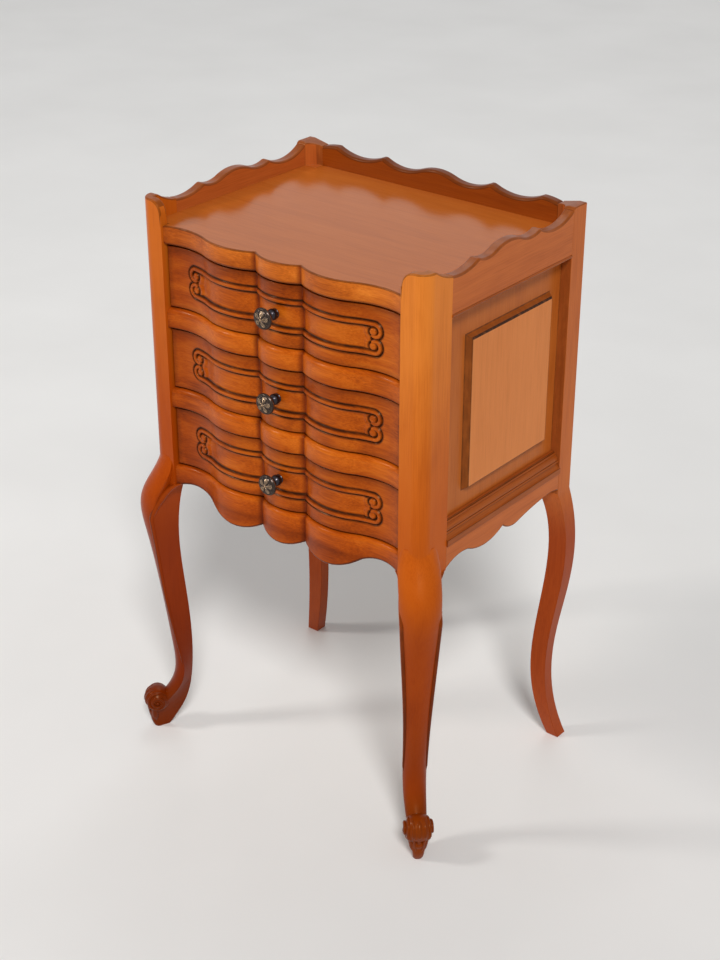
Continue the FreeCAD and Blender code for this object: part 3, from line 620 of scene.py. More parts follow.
class Workshop:
    """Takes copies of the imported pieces, and takes finished pieces into the scene."""

    sharp = math.radians(33.0)
    flat = math.radians(0.6)
    merge = 0.002 * MM
    crest_lean = 0.5
    crest_shade = 0.5

    def blank(self, node: str, above: float = -FAR) -> Mesh:
        """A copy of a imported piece's mesh, with its points merged and its flat faces whole.

        Args:
            node: The piece.
            above: The level over which its flat faces are made whole.

        Returns:
            The copy.
        """
        mesh = bmesh.new()
        mesh.from_mesh(frame["nodes"][node].data)
        bmesh.ops.remove_doubles(mesh, verts=mesh.verts, dist=self.merge)
        zone = Zone(z=(above, FAR))
        edges = [edge for edge in mesh.edges if zone.holds(edge)]
        verts = list(dict.fromkeys(vert for edge in edges for vert in edge.verts))
        bmesh.ops.dissolve_limit(mesh, angle_limit=self.flat, verts=verts, edges=edges)
        mesh.faces.layers.float.new(SHADE)
        return mesh

    def ease(self, mesh: Mesh, easing: Easing) -> None:
        """Rounds the sharp edges of one zone and darkens them.

        Args:
            mesh: The mesh.
            easing: Which edges, and how much.
        """
        edges = [edge for edge in mesh.edges if edge.is_manifold and easing.zone.holds(edge)
                 and edge.calc_face_angle() > self.sharp]
        if not edges:
            return
        made = bmesh.ops.bevel(mesh, geom=edges, offset=easing.radius * MM, offset_type="OFFSET",
                               segments=easing.segments, profile=0.5, affect="EDGES", material=-1,
                               clamp_overlap=True)
        layer = mesh.faces.layers.float[SHADE]
        for face in made["faces"]:
            face[layer] = easing.shade

    def shade(self, mesh: Mesh, rule: Callable[[Face], float]) -> None:
        """Gives each face of a new mesh its darkness.

        Args:
            mesh: The mesh.
            rule: How dark a face is, from 0 to 1.
        """
        layer = mesh.faces.layers.float.new(SHADE)
        for face in mesh.faces:
            face[layer] = rule(face)

    def darken(self, mesh: Mesh, way: Vector, lean: float, level: float, shade: float) -> None:
        """Darkens the faces above a level that look one way.

        Args:
            mesh: The mesh.
            way: The way that they look.
            lean: The least cosine of their angle to it.
            level: The level in millimetres.
            shade: How dark they become.
        """
        layer = mesh.faces.layers.float[SHADE]
        for face in mesh.faces:
            if face.normal.dot(way) > lean and face.calc_center_median().z > level * MM:
                face[layer] = shade

    def wear(self, mesh: Mesh) -> None:
        """Darkens the upper faces of what stands over the top."""
        self.darken(mesh, UPWARDS, self.crest_lean, CASE.crest, self.crest_shade)

    def place(self, mesh: Mesh, name: str, body: str, finishes: tuple[Finish, ...], slot: str,
              nodes: tuple[str, ...] = (), crease: float = 40.0) -> None:
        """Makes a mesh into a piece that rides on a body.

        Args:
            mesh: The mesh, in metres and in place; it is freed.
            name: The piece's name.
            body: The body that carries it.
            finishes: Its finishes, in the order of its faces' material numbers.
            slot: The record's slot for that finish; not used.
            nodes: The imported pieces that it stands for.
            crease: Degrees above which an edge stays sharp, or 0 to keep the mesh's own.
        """
        data = bpy.data.meshes.new(name)
        for face in mesh.faces:
            face.smooth = True
        mesh.to_mesh(data)
        mesh.free()
        if crease:
            data.set_sharp_from_angle(angle=math.radians(crease))
        for finish in finishes:
            data.materials.append(finish.material())
        piece = add_object(name, data)
        weighted = piece.modifiers.new("weighted_normals", "WEIGHTED_NORMAL")
        weighted.keep_sharp = True
        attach(piece, body)
        if nodes:
            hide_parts(*nodes)
        LOG.info("%s on %s", name, body)

    def dress(self, node: str, finish: Finish) -> None:
        """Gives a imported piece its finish.

        Args:
            node: The piece.
            finish: Its finish.
        """
        data = frame["nodes"][node].data
        data.materials.clear()
        data.materials.append(finish.material())
        LOG.info("%s in %s", node, finish.name)

    def along(self, points: list[Vector], taper: float = 0.0, tip: float = 0.15) -> list[Matrix]:
        """Places of a section that follows a row of points.

        Args:
            points: The points, in metres.
            taper: The share of the row over which its ends thin out.
            tip: How thin they become.

        Returns:
            The places, from the first to the last.
        """
        rings = []
        last = len(points) - 1
        before = points[1] - points[0]
        turn = before.to_track_quat("Z", "Y")
        for index, point in enumerate(points):
            ahead = points[min(last, index + 1)] - points[max(0, index - 1)]
            turn = before.rotation_difference(ahead) @ turn
            before = ahead
            share = min(index, last - index) / last
            thin = min(1.0, tip + (1.0 - tip) * share / taper) if taper else 1.0
            rings.append(Matrix.Translation(point) @ turn.to_matrix().to_4x4() @ Matrix.Scale(thin, 4))
        return rings

    def smooth(self, corners: list[Vector], steps: int = 8) -> list[Vector]:
        """A smooth row of points through a few corners.

        Args:
            corners: The corners.
            steps: How many points each stretch gets.

        Returns:
            The row, with both ends.
        """
        ends = [corners[0]] + corners + [corners[-1]]
        row = []
        for before, start, end, after in zip(ends, ends[1:], ends[2:], ends[3:]):
            for index in range(steps):
                share = index / steps
                bend = (end - before) / 2.0 * (share - 2.0 * share ** 2 + share ** 3)
                lead = (after - start) / 2.0 * (share ** 3 - share ** 2)
                row.append(start.lerp(end, share ** 2 * (3.0 - 2.0 * share)) + bend + lead)
        return row + [corners[-1]]

    def sweep(self, mesh: Mesh, radius: float, rings: list[Matrix], sides: int = 10) -> None:
        """Draws a round section along a row of places.

        Args:
            mesh: The mesh that gets the tube.
            radius: The section's radius.
            rings: The section's place, turn and size at each step; its own plane is XY.
            sides: How many sides the section has.
        """
        ring = bmesh.ops.create_circle(mesh, cap_ends=True, segments=sides, radius=radius,
                                       matrix=rings[0])["verts"]
        edges = list(dict.fromkeys(edge for vert in ring for edge in vert.link_edges))
        everything = list(ring)
        for before, after in zip(rings, rings[1:]):
            made = bmesh.ops.extrude_edge_only(mesh, edges=edges)["geom"]
            ring = [item for item in made if isinstance(item, bmesh.types.BMVert)]
            edges = [item for item in made if isinstance(item, bmesh.types.BMEdge)
                     and all(vert in ring for vert in item.verts)]
            bmesh.ops.transform(mesh, matrix=after @ before.inverted(), verts=ring)
            everything += ring
        bmesh.ops.edgeloop_fill(mesh, edges=edges)
        faces = list(dict.fromkeys(face for vert in everything for face in vert.link_faces))
        bmesh.ops.recalc_face_normals(mesh, faces=faces)


SHOP = Workshop()
CURVE = FrontCurve()


@dataclass
class EasedBoards:
    """The case's boards, each as it was packed, with the rounded edges that a hand gives them."""

    crest_round: float = 3.6
    rail_round: float = 8.0
    rail_foot_round: float = 1.2
    apron_round: float = 5.0
    scallop_round: float = 2.6
    side_scallop_round: float = 1.8
    rear_round: float = 2.4
    top_round: float = 1.8
    top_foot_round: float = 3.0
    field_round: float = 1.7
    panel_round: float = 0.8
    front_reach: float = 9.0
    lobe_reach: float = 12.0
    scallop_top: float = 374.0
    side_scallop_top: float = 375.0
    top_foot: float = 672.0
    field_top: float = 621.8
    field_face: float = 193.0
    near: float = 0.5
    top_near: float = 1.5
    slip: float = 0.3
    leg_start: float = 4.0
    inner_lean: float = 0.9
    inner_shade: float = 0.4
    edge_lean: float = 0.8
    slope_least: float = 0.2
    slope_most: float = 0.98
    upper_slope_shade: float = 0.45
    slope_shade: float = 0.55

    def build(self) -> None:
        """Makes each board of the case."""
        self.top()
        front = (-FAR, CASE.front + self.front_reach)
        for count, name in enumerate(("lower", "upper"), 1):
            high = CASE.leg + count * CASE.step
            low = high - CASE.step + CASE.drawer
            over = Zone(y=front, z=(high - self.near, FAR))
            under = Zone(y=front, z=(-FAR, low + self.near))
            # Painted shade along each rail's lower edge, over the gap above the drawer below.
            self.board(f"{name}_rail", FRONT_WOOD, Easing(self.rail_round, over, segments=8, shade=0.0),
                       Easing(self.rail_foot_round, under, shade=0.6), HAIRLINE)
        over = Zone(y=front, z=(CASE.leg - self.near, FAR))
        scallop = Zone(y=(-FAR, CASE.front + self.lobe_reach), z=(-FAR, self.scallop_top))
        # Painted shade along the apron's scalloped lower edge.
        self.board("front_apron", FRONT_WOOD, Easing(self.apron_round, over, segments=6, shade=0.0),
                   Easing(self.scallop_round, scallop, segments=5, shade=0.7), PLAIN)
        crest = Easing(self.crest_round, Zone(z=(CASE.crest, FAR)), segments=6, shade=0.5)
        self.board("back_gallery", BACK_SHADED_WOOD, crest, FINE)
        low = Zone(z=(-FAR, self.side_scallop_top))
        # Painted shade along each side apron's scalloped lower edge.
        side_scallop = Easing(self.side_scallop_round, low, segments=4, shade=0.6)
        for name in SIDES:
            self.board(f"{name}_gallery", RAIL_WOOD, crest, PLAIN)
            self.panel(name)
            self.board(f"{name}_side_moulding", MOULD_WOOD, replace(FINE, shade=0.6))
            self.board(f"{name}_side_apron", RAIL_WOOD, side_scallop, FINE)
            self.board(f"rear_{name}_leg", REAR_WOOD, crest, Easing(self.rear_round, segments=4, shade=0.2))

    def board(self, node: str, finish: WoodFinish, *easings: Easing) -> None:
        """Makes one board, with the rear posts dark where they face the side panels.

        Args:
            node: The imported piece.
            finish: Its finish.
            easings: Its rounded edges, the widest first.
        """
        mesh = SHOP.blank(node, CASE.leg + self.leg_start if node.endswith("leg") else -FAR)
        if node == "front_apron":
            self.clear(mesh)
        for easing in easings:
            SHOP.ease(mesh, easing)
        if node.startswith("rear"):
            SHOP.darken(mesh, FORWARDS, self.inner_lean, CASE.leg, self.inner_shade)
        SHOP.wear(mesh)
        SHOP.place(mesh, f"{node}_wood", "case", (finish,), "show_wood", (node,))

    def clear(self, mesh: Mesh) -> None:
        """Lowers the apron's upper face a hair, so that the lowest drawer slides clear of it.

        Args:
            mesh: The apron's mesh.
        """
        for vert in mesh.verts:
            if vert.co.z > (CASE.leg - self.slip) * MM:
                vert.co.z -= self.slip * MM

    def top(self) -> None:
        """Makes the top, whose edges have the front's finish."""
        mesh = SHOP.blank("top_panel")
        front = (-FAR, CASE.front + self.lobe_reach)
        over = Zone(y=front, z=(CASE.top - self.top_near, FAR))
        under = Zone(y=front, z=(-FAR, self.top_foot))
        # The top's front edges are darkened; along its lower edge this is painted shade over the gap above
        # the upper drawer.
        for easing in (Easing(self.top_round, over, segments=4, shade=0.6),
                       Easing(self.top_foot_round, under, segments=5), HAIRLINE):
            SHOP.ease(mesh, easing)
        for face in mesh.faces:
            face.material_index = int(face.normal.z < self.edge_lean)
        SHOP.place(mesh, "top_panel_wood", "case", (TOP_WOOD, EDGE_WOOD), "show_wood", ("top_panel",))

    def panel(self, name: str) -> None:
        """Makes a side panel, with painted shade on the slopes where its field falls away and a painted
        shadow line along the field's top edge.

        Args:
            name: The side.
        """
        node = f"{name}_side_panel"
        mesh = SHOP.blank(node)
        layer = mesh.faces.layers.float[SHADE]
        # Painted shade on the field's sloping sides, a little lighter on the upper one.
        for face in mesh.faces:
            if self.slope_least < abs(face.normal.x) < self.slope_most:
                upper = face.normal.z > self.slope_least
                face[layer] = self.upper_slope_shade if upper else self.slope_shade
                face.material_index = 1
            elif abs(face.calc_center_median().x) < self.field_face * MM:
                face.material_index = 1
        # Painted shadow line along the raised field's top edge.
        crest = Zone(z=(self.field_top - self.near, self.field_top + self.near))
        SHOP.ease(mesh, Easing(self.field_round, crest, shade=1.0))
        SHOP.ease(mesh, Easing(self.panel_round, shade=0.7))
        SHOP.place(mesh, f"{node}_wood", "case", (SIDE_WOOD, BORDER_WOOD), "show_wood", (node,))


@dataclass
class SideBeads:
    """Fine beads along one side, each with its place outwards, its place up and its radius."""

    name: str
    side: int
    face: float = 189.0
    gallery: tuple[float, ...] = (-0.5, 2.2, 1.8)
    reeds: Rows = ((13.2, 6.4, 1.7), (9.6, 15.4, 1.5), (4.8, 24.6, 1.7))
    # Painted shade in the dark lines between the beads.
    stain_and_shade: float = 0.75
    shade_lean: tuple[float, float] = (0.2, 0.7)

    def build(self) -> None:
        """Runs a bead under the gallery and reeds along the moulding's steps, from post to post."""
        mesh = bmesh.new()
        ends = (CASE.front + CASE.post_depth, CASE.rear_front)
        out, up, radius = self.gallery
        beads = [(CASE.outer + out, CASE.gallery_foot + up, radius)]
        beads += [(self.face + out, CASE.leg + up, radius) for out, up, radius in self.reeds]
        for x, z, radius in beads:
            row = [Vector((self.side * x, y, z)) * MM for y in ends]
            SHOP.sweep(mesh, radius * MM, SHOP.along(row), sides=12)
        SHOP.shade(mesh, self.dark)
        SHOP.place(mesh, f"{self.name}_side_beads", "case", (MOULD_WOOD,), "show_wood")

    def dark(self, face: Face) -> float:
        """How dark a face is: most where it looks up or down, as painted shade in the lines between the
        beads.
        """
        lean = max(self.side * face.normal.x, abs(face.normal.y))
        return self.stain_and_shade * (1.0 - smooth_step(*self.shade_lean, lean))


@dataclass
class CarvedFront:
    """A drawer's front: serpentine in plan, with a sunk field between two beads that end in volutes."""

    level: str
    count: int
    half: float = 168.3
    gap: float = 1.5
    setback: float = 2.5
    thick: float = 26.0
    rows: int = 120
    bead_at: float = 16.5
    bead: float = 2.3
    bead_rise: float = 1.6
    groove: float = 2.1
    groove_depth: float = 1.3
    sink: float = 2.4
    edge: float = 1.8
    volute_x: float = 128.5
    volute: float = 8.25
    volute_end: float = 4.6
    volute_turns: float = 0.6
    volute_ease: float = 1.5
    button: float = 4.3
    button_in: float = 1.3
    button_rise: float = 0.7
    carved_from: float = 112.5
    carved_to: float = 144.5
    pitch: float = 1.0
    fine_pitch: float = 0.5
    sink_from: float = 1.5
    sink_to: float = 6.5
    sink_past: float = 1.0
    # Darkness of the grooves and the beads' flanks, partly stain in the grooves and partly painted shade, and
    # painted shade near the border.
    stain_and_shade: float = 0.7
    stain_and_shade_reach: float = 1.8
    border_shade: float = 0.3
    border_reach: float = 8.0
    near: float = 0.01

    def columns(self) -> list[float]:
        """Places across the front, closer where it is carved most.

        Returns:
            The places, from left to right.
        """
        places = [-self.half]
        coarse, fine = self.pitch, self.fine_pitch
        for reach, pitch in ((-self.carved_to, coarse), (-self.carved_from, fine), (self.carved_from, coarse),
                             (self.carved_to, fine), (self.half, coarse)):
            while places[-1] < reach - pitch / 2.0:
                places.append(places[-1] + pitch)
        return places

    def bead_distance(self, x: float, rise: float) -> float:
        """How far a place is from the nearest bead's middle.

        Args:
            x: The place across, from the middle.
            rise: The place up, from mid-height.

        Returns:
            The distance.
        """
        x, rise = abs(x), abs(rise)
        straight = math.hypot(max(0.0, x - self.volute_x), rise - self.bead_at)
        run, lift = x - self.volute_x, rise - (self.bead_at - self.volute)
        reach = math.hypot(run, lift)
        turn = (math.pi / 2.0 - math.atan2(lift, run)) % (2.0 * math.pi)
        share = turn / (self.volute_turns * 2.0 * math.pi)
        coil = self.volute + (self.volute_end - self.volute) * min(1.0, share) ** self.volute_ease
        curl = abs(reach - coil) if share <= 1.0 else FAR
        button = math.hypot(run + self.button_in, lift) - self.button + self.bead
        return min(straight, curl, max(0.0, button))

    def carve(self, x: float, rise: float) -> tuple[float, float]:
        """The carving's height and darkness at a place.

        Args:
            x: The place across, from the middle.
            rise: The place up, from mid-height.

        Returns:
            The height over the border, and how dark the place is from 0 to 1.
        """
        away = self.bead_distance(x, rise)
        run, lift = abs(x) - self.volute_x, abs(rise) - self.bead_at
        inside = min(-lift, math.hypot(run, abs(rise) - self.volute) - self.volute)
        inside = inside if run < self.sink_past else 0.0
        height = -self.sink * smooth_step(self.sink_from, self.sink_to, inside)
        # The beads' flanks and the grooves beside them darken: partly stain in the grooves, partly painted
        # shade.
        if away < self.bead:
            height += self.bead_rise * math.sqrt(1.0 - (away / self.bead) ** 2)
            knot = math.hypot(run + self.button_in, lift + self.volute)
            height += self.button_rise * max(0.0, 1.0 - (knot / self.button) ** 2)
            shade = self.stain_and_shade * (away / self.bead) ** 4
        elif away < self.bead + self.groove:
            share = math.sin(math.pi * (away - self.bead) / self.groove)
            height -= self.groove_depth * share
            shade = self.stain_and_shade + (1.0 - self.stain_and_shade) * share
        else:
            fade = smooth_step(0.0, self.stain_and_shade_reach, away - self.bead - self.groove)
            shade = self.stain_and_shade * (1.0 - fade)
        # Painted shade near the front's border and on its rounded edge, by the gap round the drawer.
        border = min(self.half - abs(x), CASE.drawer / 2.0 - self.gap - abs(rise))
        shade = max(shade, self.border_shade * (1.0 - smooth_step(0.0, self.border_reach, border)))
        if border < self.edge:
            height -= self.edge - math.sqrt(max(0.0, self.edge ** 2 - (self.edge - border) ** 2))
            shade = max(shade, self.stain_and_shade * (1.0 - border / self.edge))
        return height, shade

    def build(self) -> None:
        """Makes the front and takes it into the scene."""
        mesh = bmesh.new()
        columns = self.columns()
        middle = CASE.middle(self.count)
        tall = CASE.drawer / 2.0 - self.gap
        bmesh.ops.create_grid(mesh, x_segments=len(columns) - 1, y_segments=self.rows, size=1.0)
        layer = mesh.verts.layers.float.new(SHADE)
        for vert in mesh.verts:
            x = columns[round((vert.co.x + 1.0) / 2.0 * (len(columns) - 1))]
            rise = vert.co.y * tall
            height, shade = self.carve(x, rise)
            vert.co = Vector((x, CURVE.depth(x) + self.setback - height, middle + rise)) * MM
            vert[layer] = shade
        for edge in mesh.edges:
            if all(abs(abs(vert.co.x / MM) - CURVE.cusp_half) < self.near for vert in edge.verts):
                edge.smooth = False
        border = [edge for edge in mesh.edges if edge.is_boundary]
        made = bmesh.ops.extrude_edge_only(mesh, edges=border)["geom"]
        for vert in made:
            if isinstance(vert, bmesh.types.BMVert):
                vert.co.y = (CURVE.front + self.thick) * MM
                vert[layer] = 0.0
        rim = [edge for edge in mesh.edges if edge.is_boundary]
        bmesh.ops.edgeloop_fill(mesh, edges=rim)
        bmesh.ops.recalc_face_normals(mesh, faces=mesh.faces)
        for edge in rim:
            edge.smooth = False
        body = f"{self.level}_drawer"
        SHOP.place(mesh, f"{body}_carved_front", body, (FRONT_WOOD,), "show_wood", (f"{body}_front",),
                   crease=0.0)


@dataclass
class RosetteKnob:
    """A cast knob: a ball on its neck and a domed head with a flower in relief.

    Its two profiles are radii and places along its axis, from the drawer outwards.
    """

    level: str
    count: int
    seat: float = -141.0
    steps: int = 120
    neck: Rows = (
        (0.0, -1.0), (5.6, -1.0), (5.7, 0.6), (5.3, 1.2), (5.9, 2.2), (6.4, 3.6), (6.6, 5.0), (6.4, 6.5),
        (5.8, 7.9), (4.9, 9.1), (4.2, 10.2), (4.0, 11.6), (4.1, 13.2), (4.7, 14.6), (5.6, 15.8))
    rim: Rows = (
        (5.6, 15.8), (8.0, 16.6), (10.6, 17.6), (12.0, 18.6), (12.6, 19.6), (12.6, 20.4), (12.2, 21.0))
    crown: float = 24.0
    dome_drop: float = 2.8
    dome_radius: int = 12
    dome_parts: int = 3
    rim_start: float = 19.0
    dome_start: float = 20.9
    petals: int = 5
    twist: float = 0.5
    petal_start: float = 1.4
    petal_long: float = 8.4
    petal_wide: float = 0.47
    petal_blunt: float = 0.45
    vein: float = 0.45
    vein_wide: float = 0.05
    vein_at: float = 5.4
    vein_long: float = 2.2
    leaf_at: float = 8.9
    leaf_long: float = 1.3
    leaf_wide: float = 0.16
    leaf_rise: float = 0.8
    rim_at: float = 11.3
    rim_wide: float = 0.8
    rim_rise: float = 0.7
    rim_relief: float = 0.55
    button: float = 2.3
    button_rise: float = 1.1
    chasing: float = 0.28
    chase_pitch: float = 4.1
    chase_sway: float = 3.0
    chase_turns: float = 7.0
    bright: float = 0.75

    def dome(self) -> list[tuple[float, float]]:
        """The dome's profile.

        Returns:
            Radii and places along the axis, from the rim to the middle.
        """
        places = [place / self.dome_parts for place in range(self.dome_radius * self.dome_parts - 1, 0, -1)]
        drops = [self.dome_drop * (place / self.dome_radius) ** 2 for place in places]
        return [(place, self.crown - drop) for place, drop in zip(places, drops)] + [(0.0, self.crown)]

    def relief(self, vert: bmesh.types.BMVert) -> float:
        """How far the flower stands off the dome at a point.

        Args:
            vert: The point, about the knob's own axis.

        Returns:
            The height in millimetres.
        """
        radius = math.hypot(vert.co.x, vert.co.z) / MM
        angle = math.atan2(vert.co.z, vert.co.x) + self.twist
        swing = (angle * self.petals / (2.0 * math.pi)) % 1.0 - 0.5
        along = min(1.0, max(0.0, (radius - self.petal_start) / self.petal_long))
        width = self.petal_wide * math.sin(math.pi * along) ** self.petal_blunt
        petal = math.sqrt(1.0 - (swing / width) ** 2) if width > abs(swing) else 0.0
        vein = self.vein * bell(swing, 0.0, self.vein_wide) * bell(radius, self.vein_at, self.vein_long)
        leaf = max(0.0, 1.0 - (0.5 - abs(swing)) / self.leaf_wide)
        leaf *= bell(radius, self.leaf_at, self.leaf_long)
        rim = bell(radius, self.rim_at, self.rim_wide)
        button = math.sqrt(max(0.0, 1.0 - (radius / self.button) ** 2))
        sway = self.chase_sway * math.sin(angle * self.chase_turns)
        chased = self.chasing * math.sin(radius * self.chase_pitch + sway)
        flower = max(0.0, petal - vein + chased * petal)
        return flower + self.leaf_rise * leaf + self.rim_rise * rim + self.button_rise * button

    def turn(self, profile: Rows) -> Mesh:
        """Turns a profile about the knob's axis.

        Args:
            profile: Radii and places along the axis.

        Returns:
            The turned mesh.
        """
        mesh = bmesh.new()
        verts = [mesh.verts.new((radius * MM, -out * MM, 0.0)) for radius, out in profile]
        edges = [mesh.edges.new(pair) for pair in zip(verts, verts[1:])]
        bmesh.ops.spin(mesh, geom=verts + edges, cent=(0.0, 0.0, 0.0), axis=(0.0, 1.0, 0.0),
                       angle=2.0 * math.pi, steps=self.steps, use_merge=True)
        bmesh.ops.remove_doubles(mesh, verts=mesh.verts, dist=SHOP.merge)
        bmesh.ops.recalc_face_normals(mesh, faces=mesh.faces)
        return mesh

    def build(self) -> None:
        """Makes the neck and the head."""
        seat = Matrix.Translation(Vector((0.0, self.seat, CASE.middle(self.count))) * MM)
        body = f"{self.level}_drawer"
        neck = self.turn(self.neck)
        bmesh.ops.transform(neck, matrix=seat, verts=neck.verts)
        SHOP.place(neck, f"{self.level}_knob_neck", body, (DARK_BRASS,), "knob", crease=35.0)
        head = self.turn((*self.rim, *self.dome()))
        layer = head.verts.layers.float.new(RELIEF)
        for vert in head.verts:
            if -vert.co.y > self.dome_start * MM:
                rise = self.relief(vert)
                vert.co.y -= rise * MM
                vert[layer] = min(1.0, self.bright * rise ** 2)
            elif -vert.co.y > self.rim_start * MM:
                vert[layer] = self.rim_relief
        bmesh.ops.transform(head, matrix=seat, verts=head.verts)
        node = f"{self.level}_knob"
        SHOP.place(head, f"{node}_rosette", body, (BRASS,), "knob", (node,), crease=60.0)


@dataclass
class FrontLeg:
    """A front post on its cabriole leg, with a lip along its arrises and a carved scroll foot."""

    name: str
    side: int
    scroll_out: float = 15.0
    scroll_z: float = 42.0
    scroll: float = 14.5
    scroll_half: float = 10.0
    crown: float = 16.7
    eye: float = 7.5
    eye_half: float = 15.5
    volute_bead: float = 2.3
    volute_turns: float = 2.0
    volute_start: float = 13.2
    volute_end: float = 3.6
    volute_steps: int = 100
    volute_angle: float = 165.0
    volute_thin: float = 0.35
    volute_sink: float = 0.5
    volute_swell: float = 1.6
    leaf: float = 4.6
    frond: float = 2.4
    frond_out: float = 6.6
    fold_rise: float = 0.9
    fold_slope: float = 0.16
    fold_angles: range = range(120, -31, -15)
    fold_toe: Rows = ((27.6, 0.62, 20.0), (25.6, 0.42, 12.0), (23.0, 0.25, 4.0))
    jowl: float = 4.4
    cheek_scroll: Rows = (
        (9.6, 10.5, 40.0), (10.4, 10.8, 0.0), (10.8, 10.2, -35.0), (11.6, 8.6, -65.0))
    cheek_toe: Rows = ((19.2, 6.2, 20.0), (18.6, 4.0, 11.0), (18.0, 2.4, 3.8))
    eye_bead: float = 2.6
    carved_shade: float = 0.12
    toe_start: float = 20.0
    toe_draw: float = 0.45
    toe_low: float = 18.0
    toe_high: float = 26.0
    lip: float = 3.0
    lip_thin: float = 1.5
    lip_rise: float = 0.7
    lip_out: float = 0.9
    lip_lean: float = 0.062
    lip_top: float = 322.0
    lip_foot: float = 98.0
    lip_shade: float = 0.1
    lip_front_shade: float = 0.5
    lip_turn: tuple[float, float] = (0.2, 0.8)
    front_lead: Rows = (
        (163.0, 4.5, 365.5, 1.6), (171.5, 1.5, 361.6, 2.6), (179.0, -3.0, 355.0, 3.8),
        (184.5, -9.5, 345.0, 4.6), (189.0, -16.0, 333.0, 4.0))
    side_lead: Rows = (
        (-2.5, 4.0, 365.5, 1.6), (-0.5, -6.0, 360.8, 2.4), (1.5, -17.0, 352.0, 3.4),
        (6.5, -25.5, 341.0, 4.4), (13.5, -31.0, 330.0, 4.0))
    knees: Rows = (
        (174.0, 190.0, -162.0, -146.0), (208.0, 224.0, -128.0, -111.0))
    knee_rise: tuple[float, float] = (331.0, 372.0)
    knee_round: float = 4.0
    crest_round: float = 4.0
    arris_round: float = 1.4
    post_start: float = 14.0

    def seat(self) -> Matrix:
        """The leg's own frame, whose X runs outwards along the diagonal from the post's corner."""
        turn = Matrix.Rotation(math.radians(-90.0 + 45.0 * self.side), 4, "Z")
        return Matrix.Translation(Vector((self.side * CASE.outer, CASE.front, 0.0)) * MM) @ turn

    def spot(self, out: float, lateral: float, z: float) -> Vector:
        """A place in the leg's own frame, in metres in the shared one."""
        return self.seat() @ (Vector((out, lateral, z)) * MM)

    def around(self, reach: float, lateral: float, degrees: float) -> Vector:
        """A place about the scroll's axis.

        Args:
            reach: How far from the axis.
            lateral: How far to one side.
            degrees: The angle above outwards.

        Returns:
            The place, in metres in the shared frame.
        """
        angle = math.radians(degrees)
        out, rise = reach * math.cos(angle), reach * math.sin(angle)
        return self.spot(self.scroll_out + out, lateral, self.scroll_z + rise)

    def volute(self, hand: float) -> list[Matrix]:
        """Places of the bead that winds up one end of the scroll.

        Args:
            hand: Which end, -1 or 1.

        Returns:
            The places, from the rim to the eye.
        """
        points = []
        for index in range(self.volute_steps + 1):
            share = index / self.volute_steps
            reach = self.volute_start + (self.volute_end - self.volute_start) * share
            rise = min(1.0, (self.scroll - reach) / (self.scroll - self.eye))
            lateral = self.scroll_half + (self.eye_half - self.scroll_half) * rise
            lateral += self.volute_swell * share - self.volute_sink
            turned = 360.0 * self.volute_turns * share
            points.append(self.around(reach, hand * lateral, self.volute_angle - turned))
        thinning = self.volute_thin / self.volute_steps
        return [ring @ Matrix.Scale(1.0 - thinning * index, 4)
                for index, ring in enumerate(SHOP.along(points, taper=0.10))]

    def fold(self, lateral: float, radius: float) -> list[Matrix]:
        """Places of a leaf's fold that falls over the scroll's front to the toe.

        Args:
            lateral: How far it is to one side on the crown.
            radius: Its section's radius, most of which is sunk.

        Returns:
            The places, from the crown to the toe.
        """
        reach = self.crown - abs(lateral) * self.fold_slope + self.fold_rise - radius
        row = [self.around(reach, lateral, angle) for angle in self.fold_angles]
        row += [self.spot(out - radius, lateral * share, z) for out, share, z in self.fold_toe]
        return SHOP.along(SHOP.smooth(row, 4), taper=0.35)

    def cheek(self, hand: float) -> list[Matrix]:
        """Places of the swelling that draws one end of the scroll in to the toe.

        Args:
            hand: Which end, -1 or 1.

        Returns:
            The places, from the scroll to the toe.
        """
        row = [self.around(reach, hand * lateral, angle) for reach, lateral, angle in self.cheek_scroll]
        row += [self.spot(out, hand * lateral, z) for out, lateral, z in self.cheek_toe]
        return SHOP.along(SHOP.smooth(row, 6), taper=0.3)

    def trim(self, leg: Mesh) -> None:
        """Draws the toe in under the scroll.

        Args:
            leg: The leg's mesh.
        """
        seat = self.seat()
        home = seat.inverted()
        for vert in leg.verts:
            place = home @ vert.co
            past = place.x - self.toe_start * MM
            if past > 0.0:
                low = 1.0 - smooth_step(self.toe_low, self.toe_high, place.z / MM)
                place.x -= self.toe_draw * low * past
                vert.co = seat @ place

    def foot(self) -> Mesh:
        """The carving on the foot.

        Returns:
            Its mesh, in place.
        """
        mesh = bmesh.new()
        for hand in HANDS:
            SHOP.sweep(mesh, self.volute_bead * MM, self.volute(hand), sides=12)
            eye = Matrix.Translation(self.around(0.0, hand * self.eye_half, 0.0))
            bmesh.ops.create_uvsphere(mesh, u_segments=20, v_segments=12, radius=self.eye_bead * MM,
                                      matrix=eye)
            SHOP.sweep(mesh, self.jowl * MM, self.cheek(hand), sides=16)
            SHOP.sweep(mesh, self.frond * MM, self.fold(hand * self.frond_out, self.frond), sides=16)
        SHOP.sweep(mesh, self.leaf * MM, self.fold(0.0, self.leaf), sides=16)
        SHOP.shade(mesh, lambda face: self.carved_shade)
        return mesh

    def lead(self, hand: int) -> list[tuple[Vector, float]]:
        """The lip's lead from an apron's end round to the leg.

        Args:
            hand: Which arris, -1 or 1 across the leg's diagonal.

        Returns:
            Places in millimetres and the lip's radius at each.
        """
        if hand == -self.side:
            across, depth, rows = 0.0, CASE.front, self.front_lead
        else:
            across, depth, rows = CASE.outer, CASE.front + CASE.post_depth, self.side_lead
        return [(Vector((self.side * (across + x), depth + y, z)), radius) for x, y, z, radius in rows]

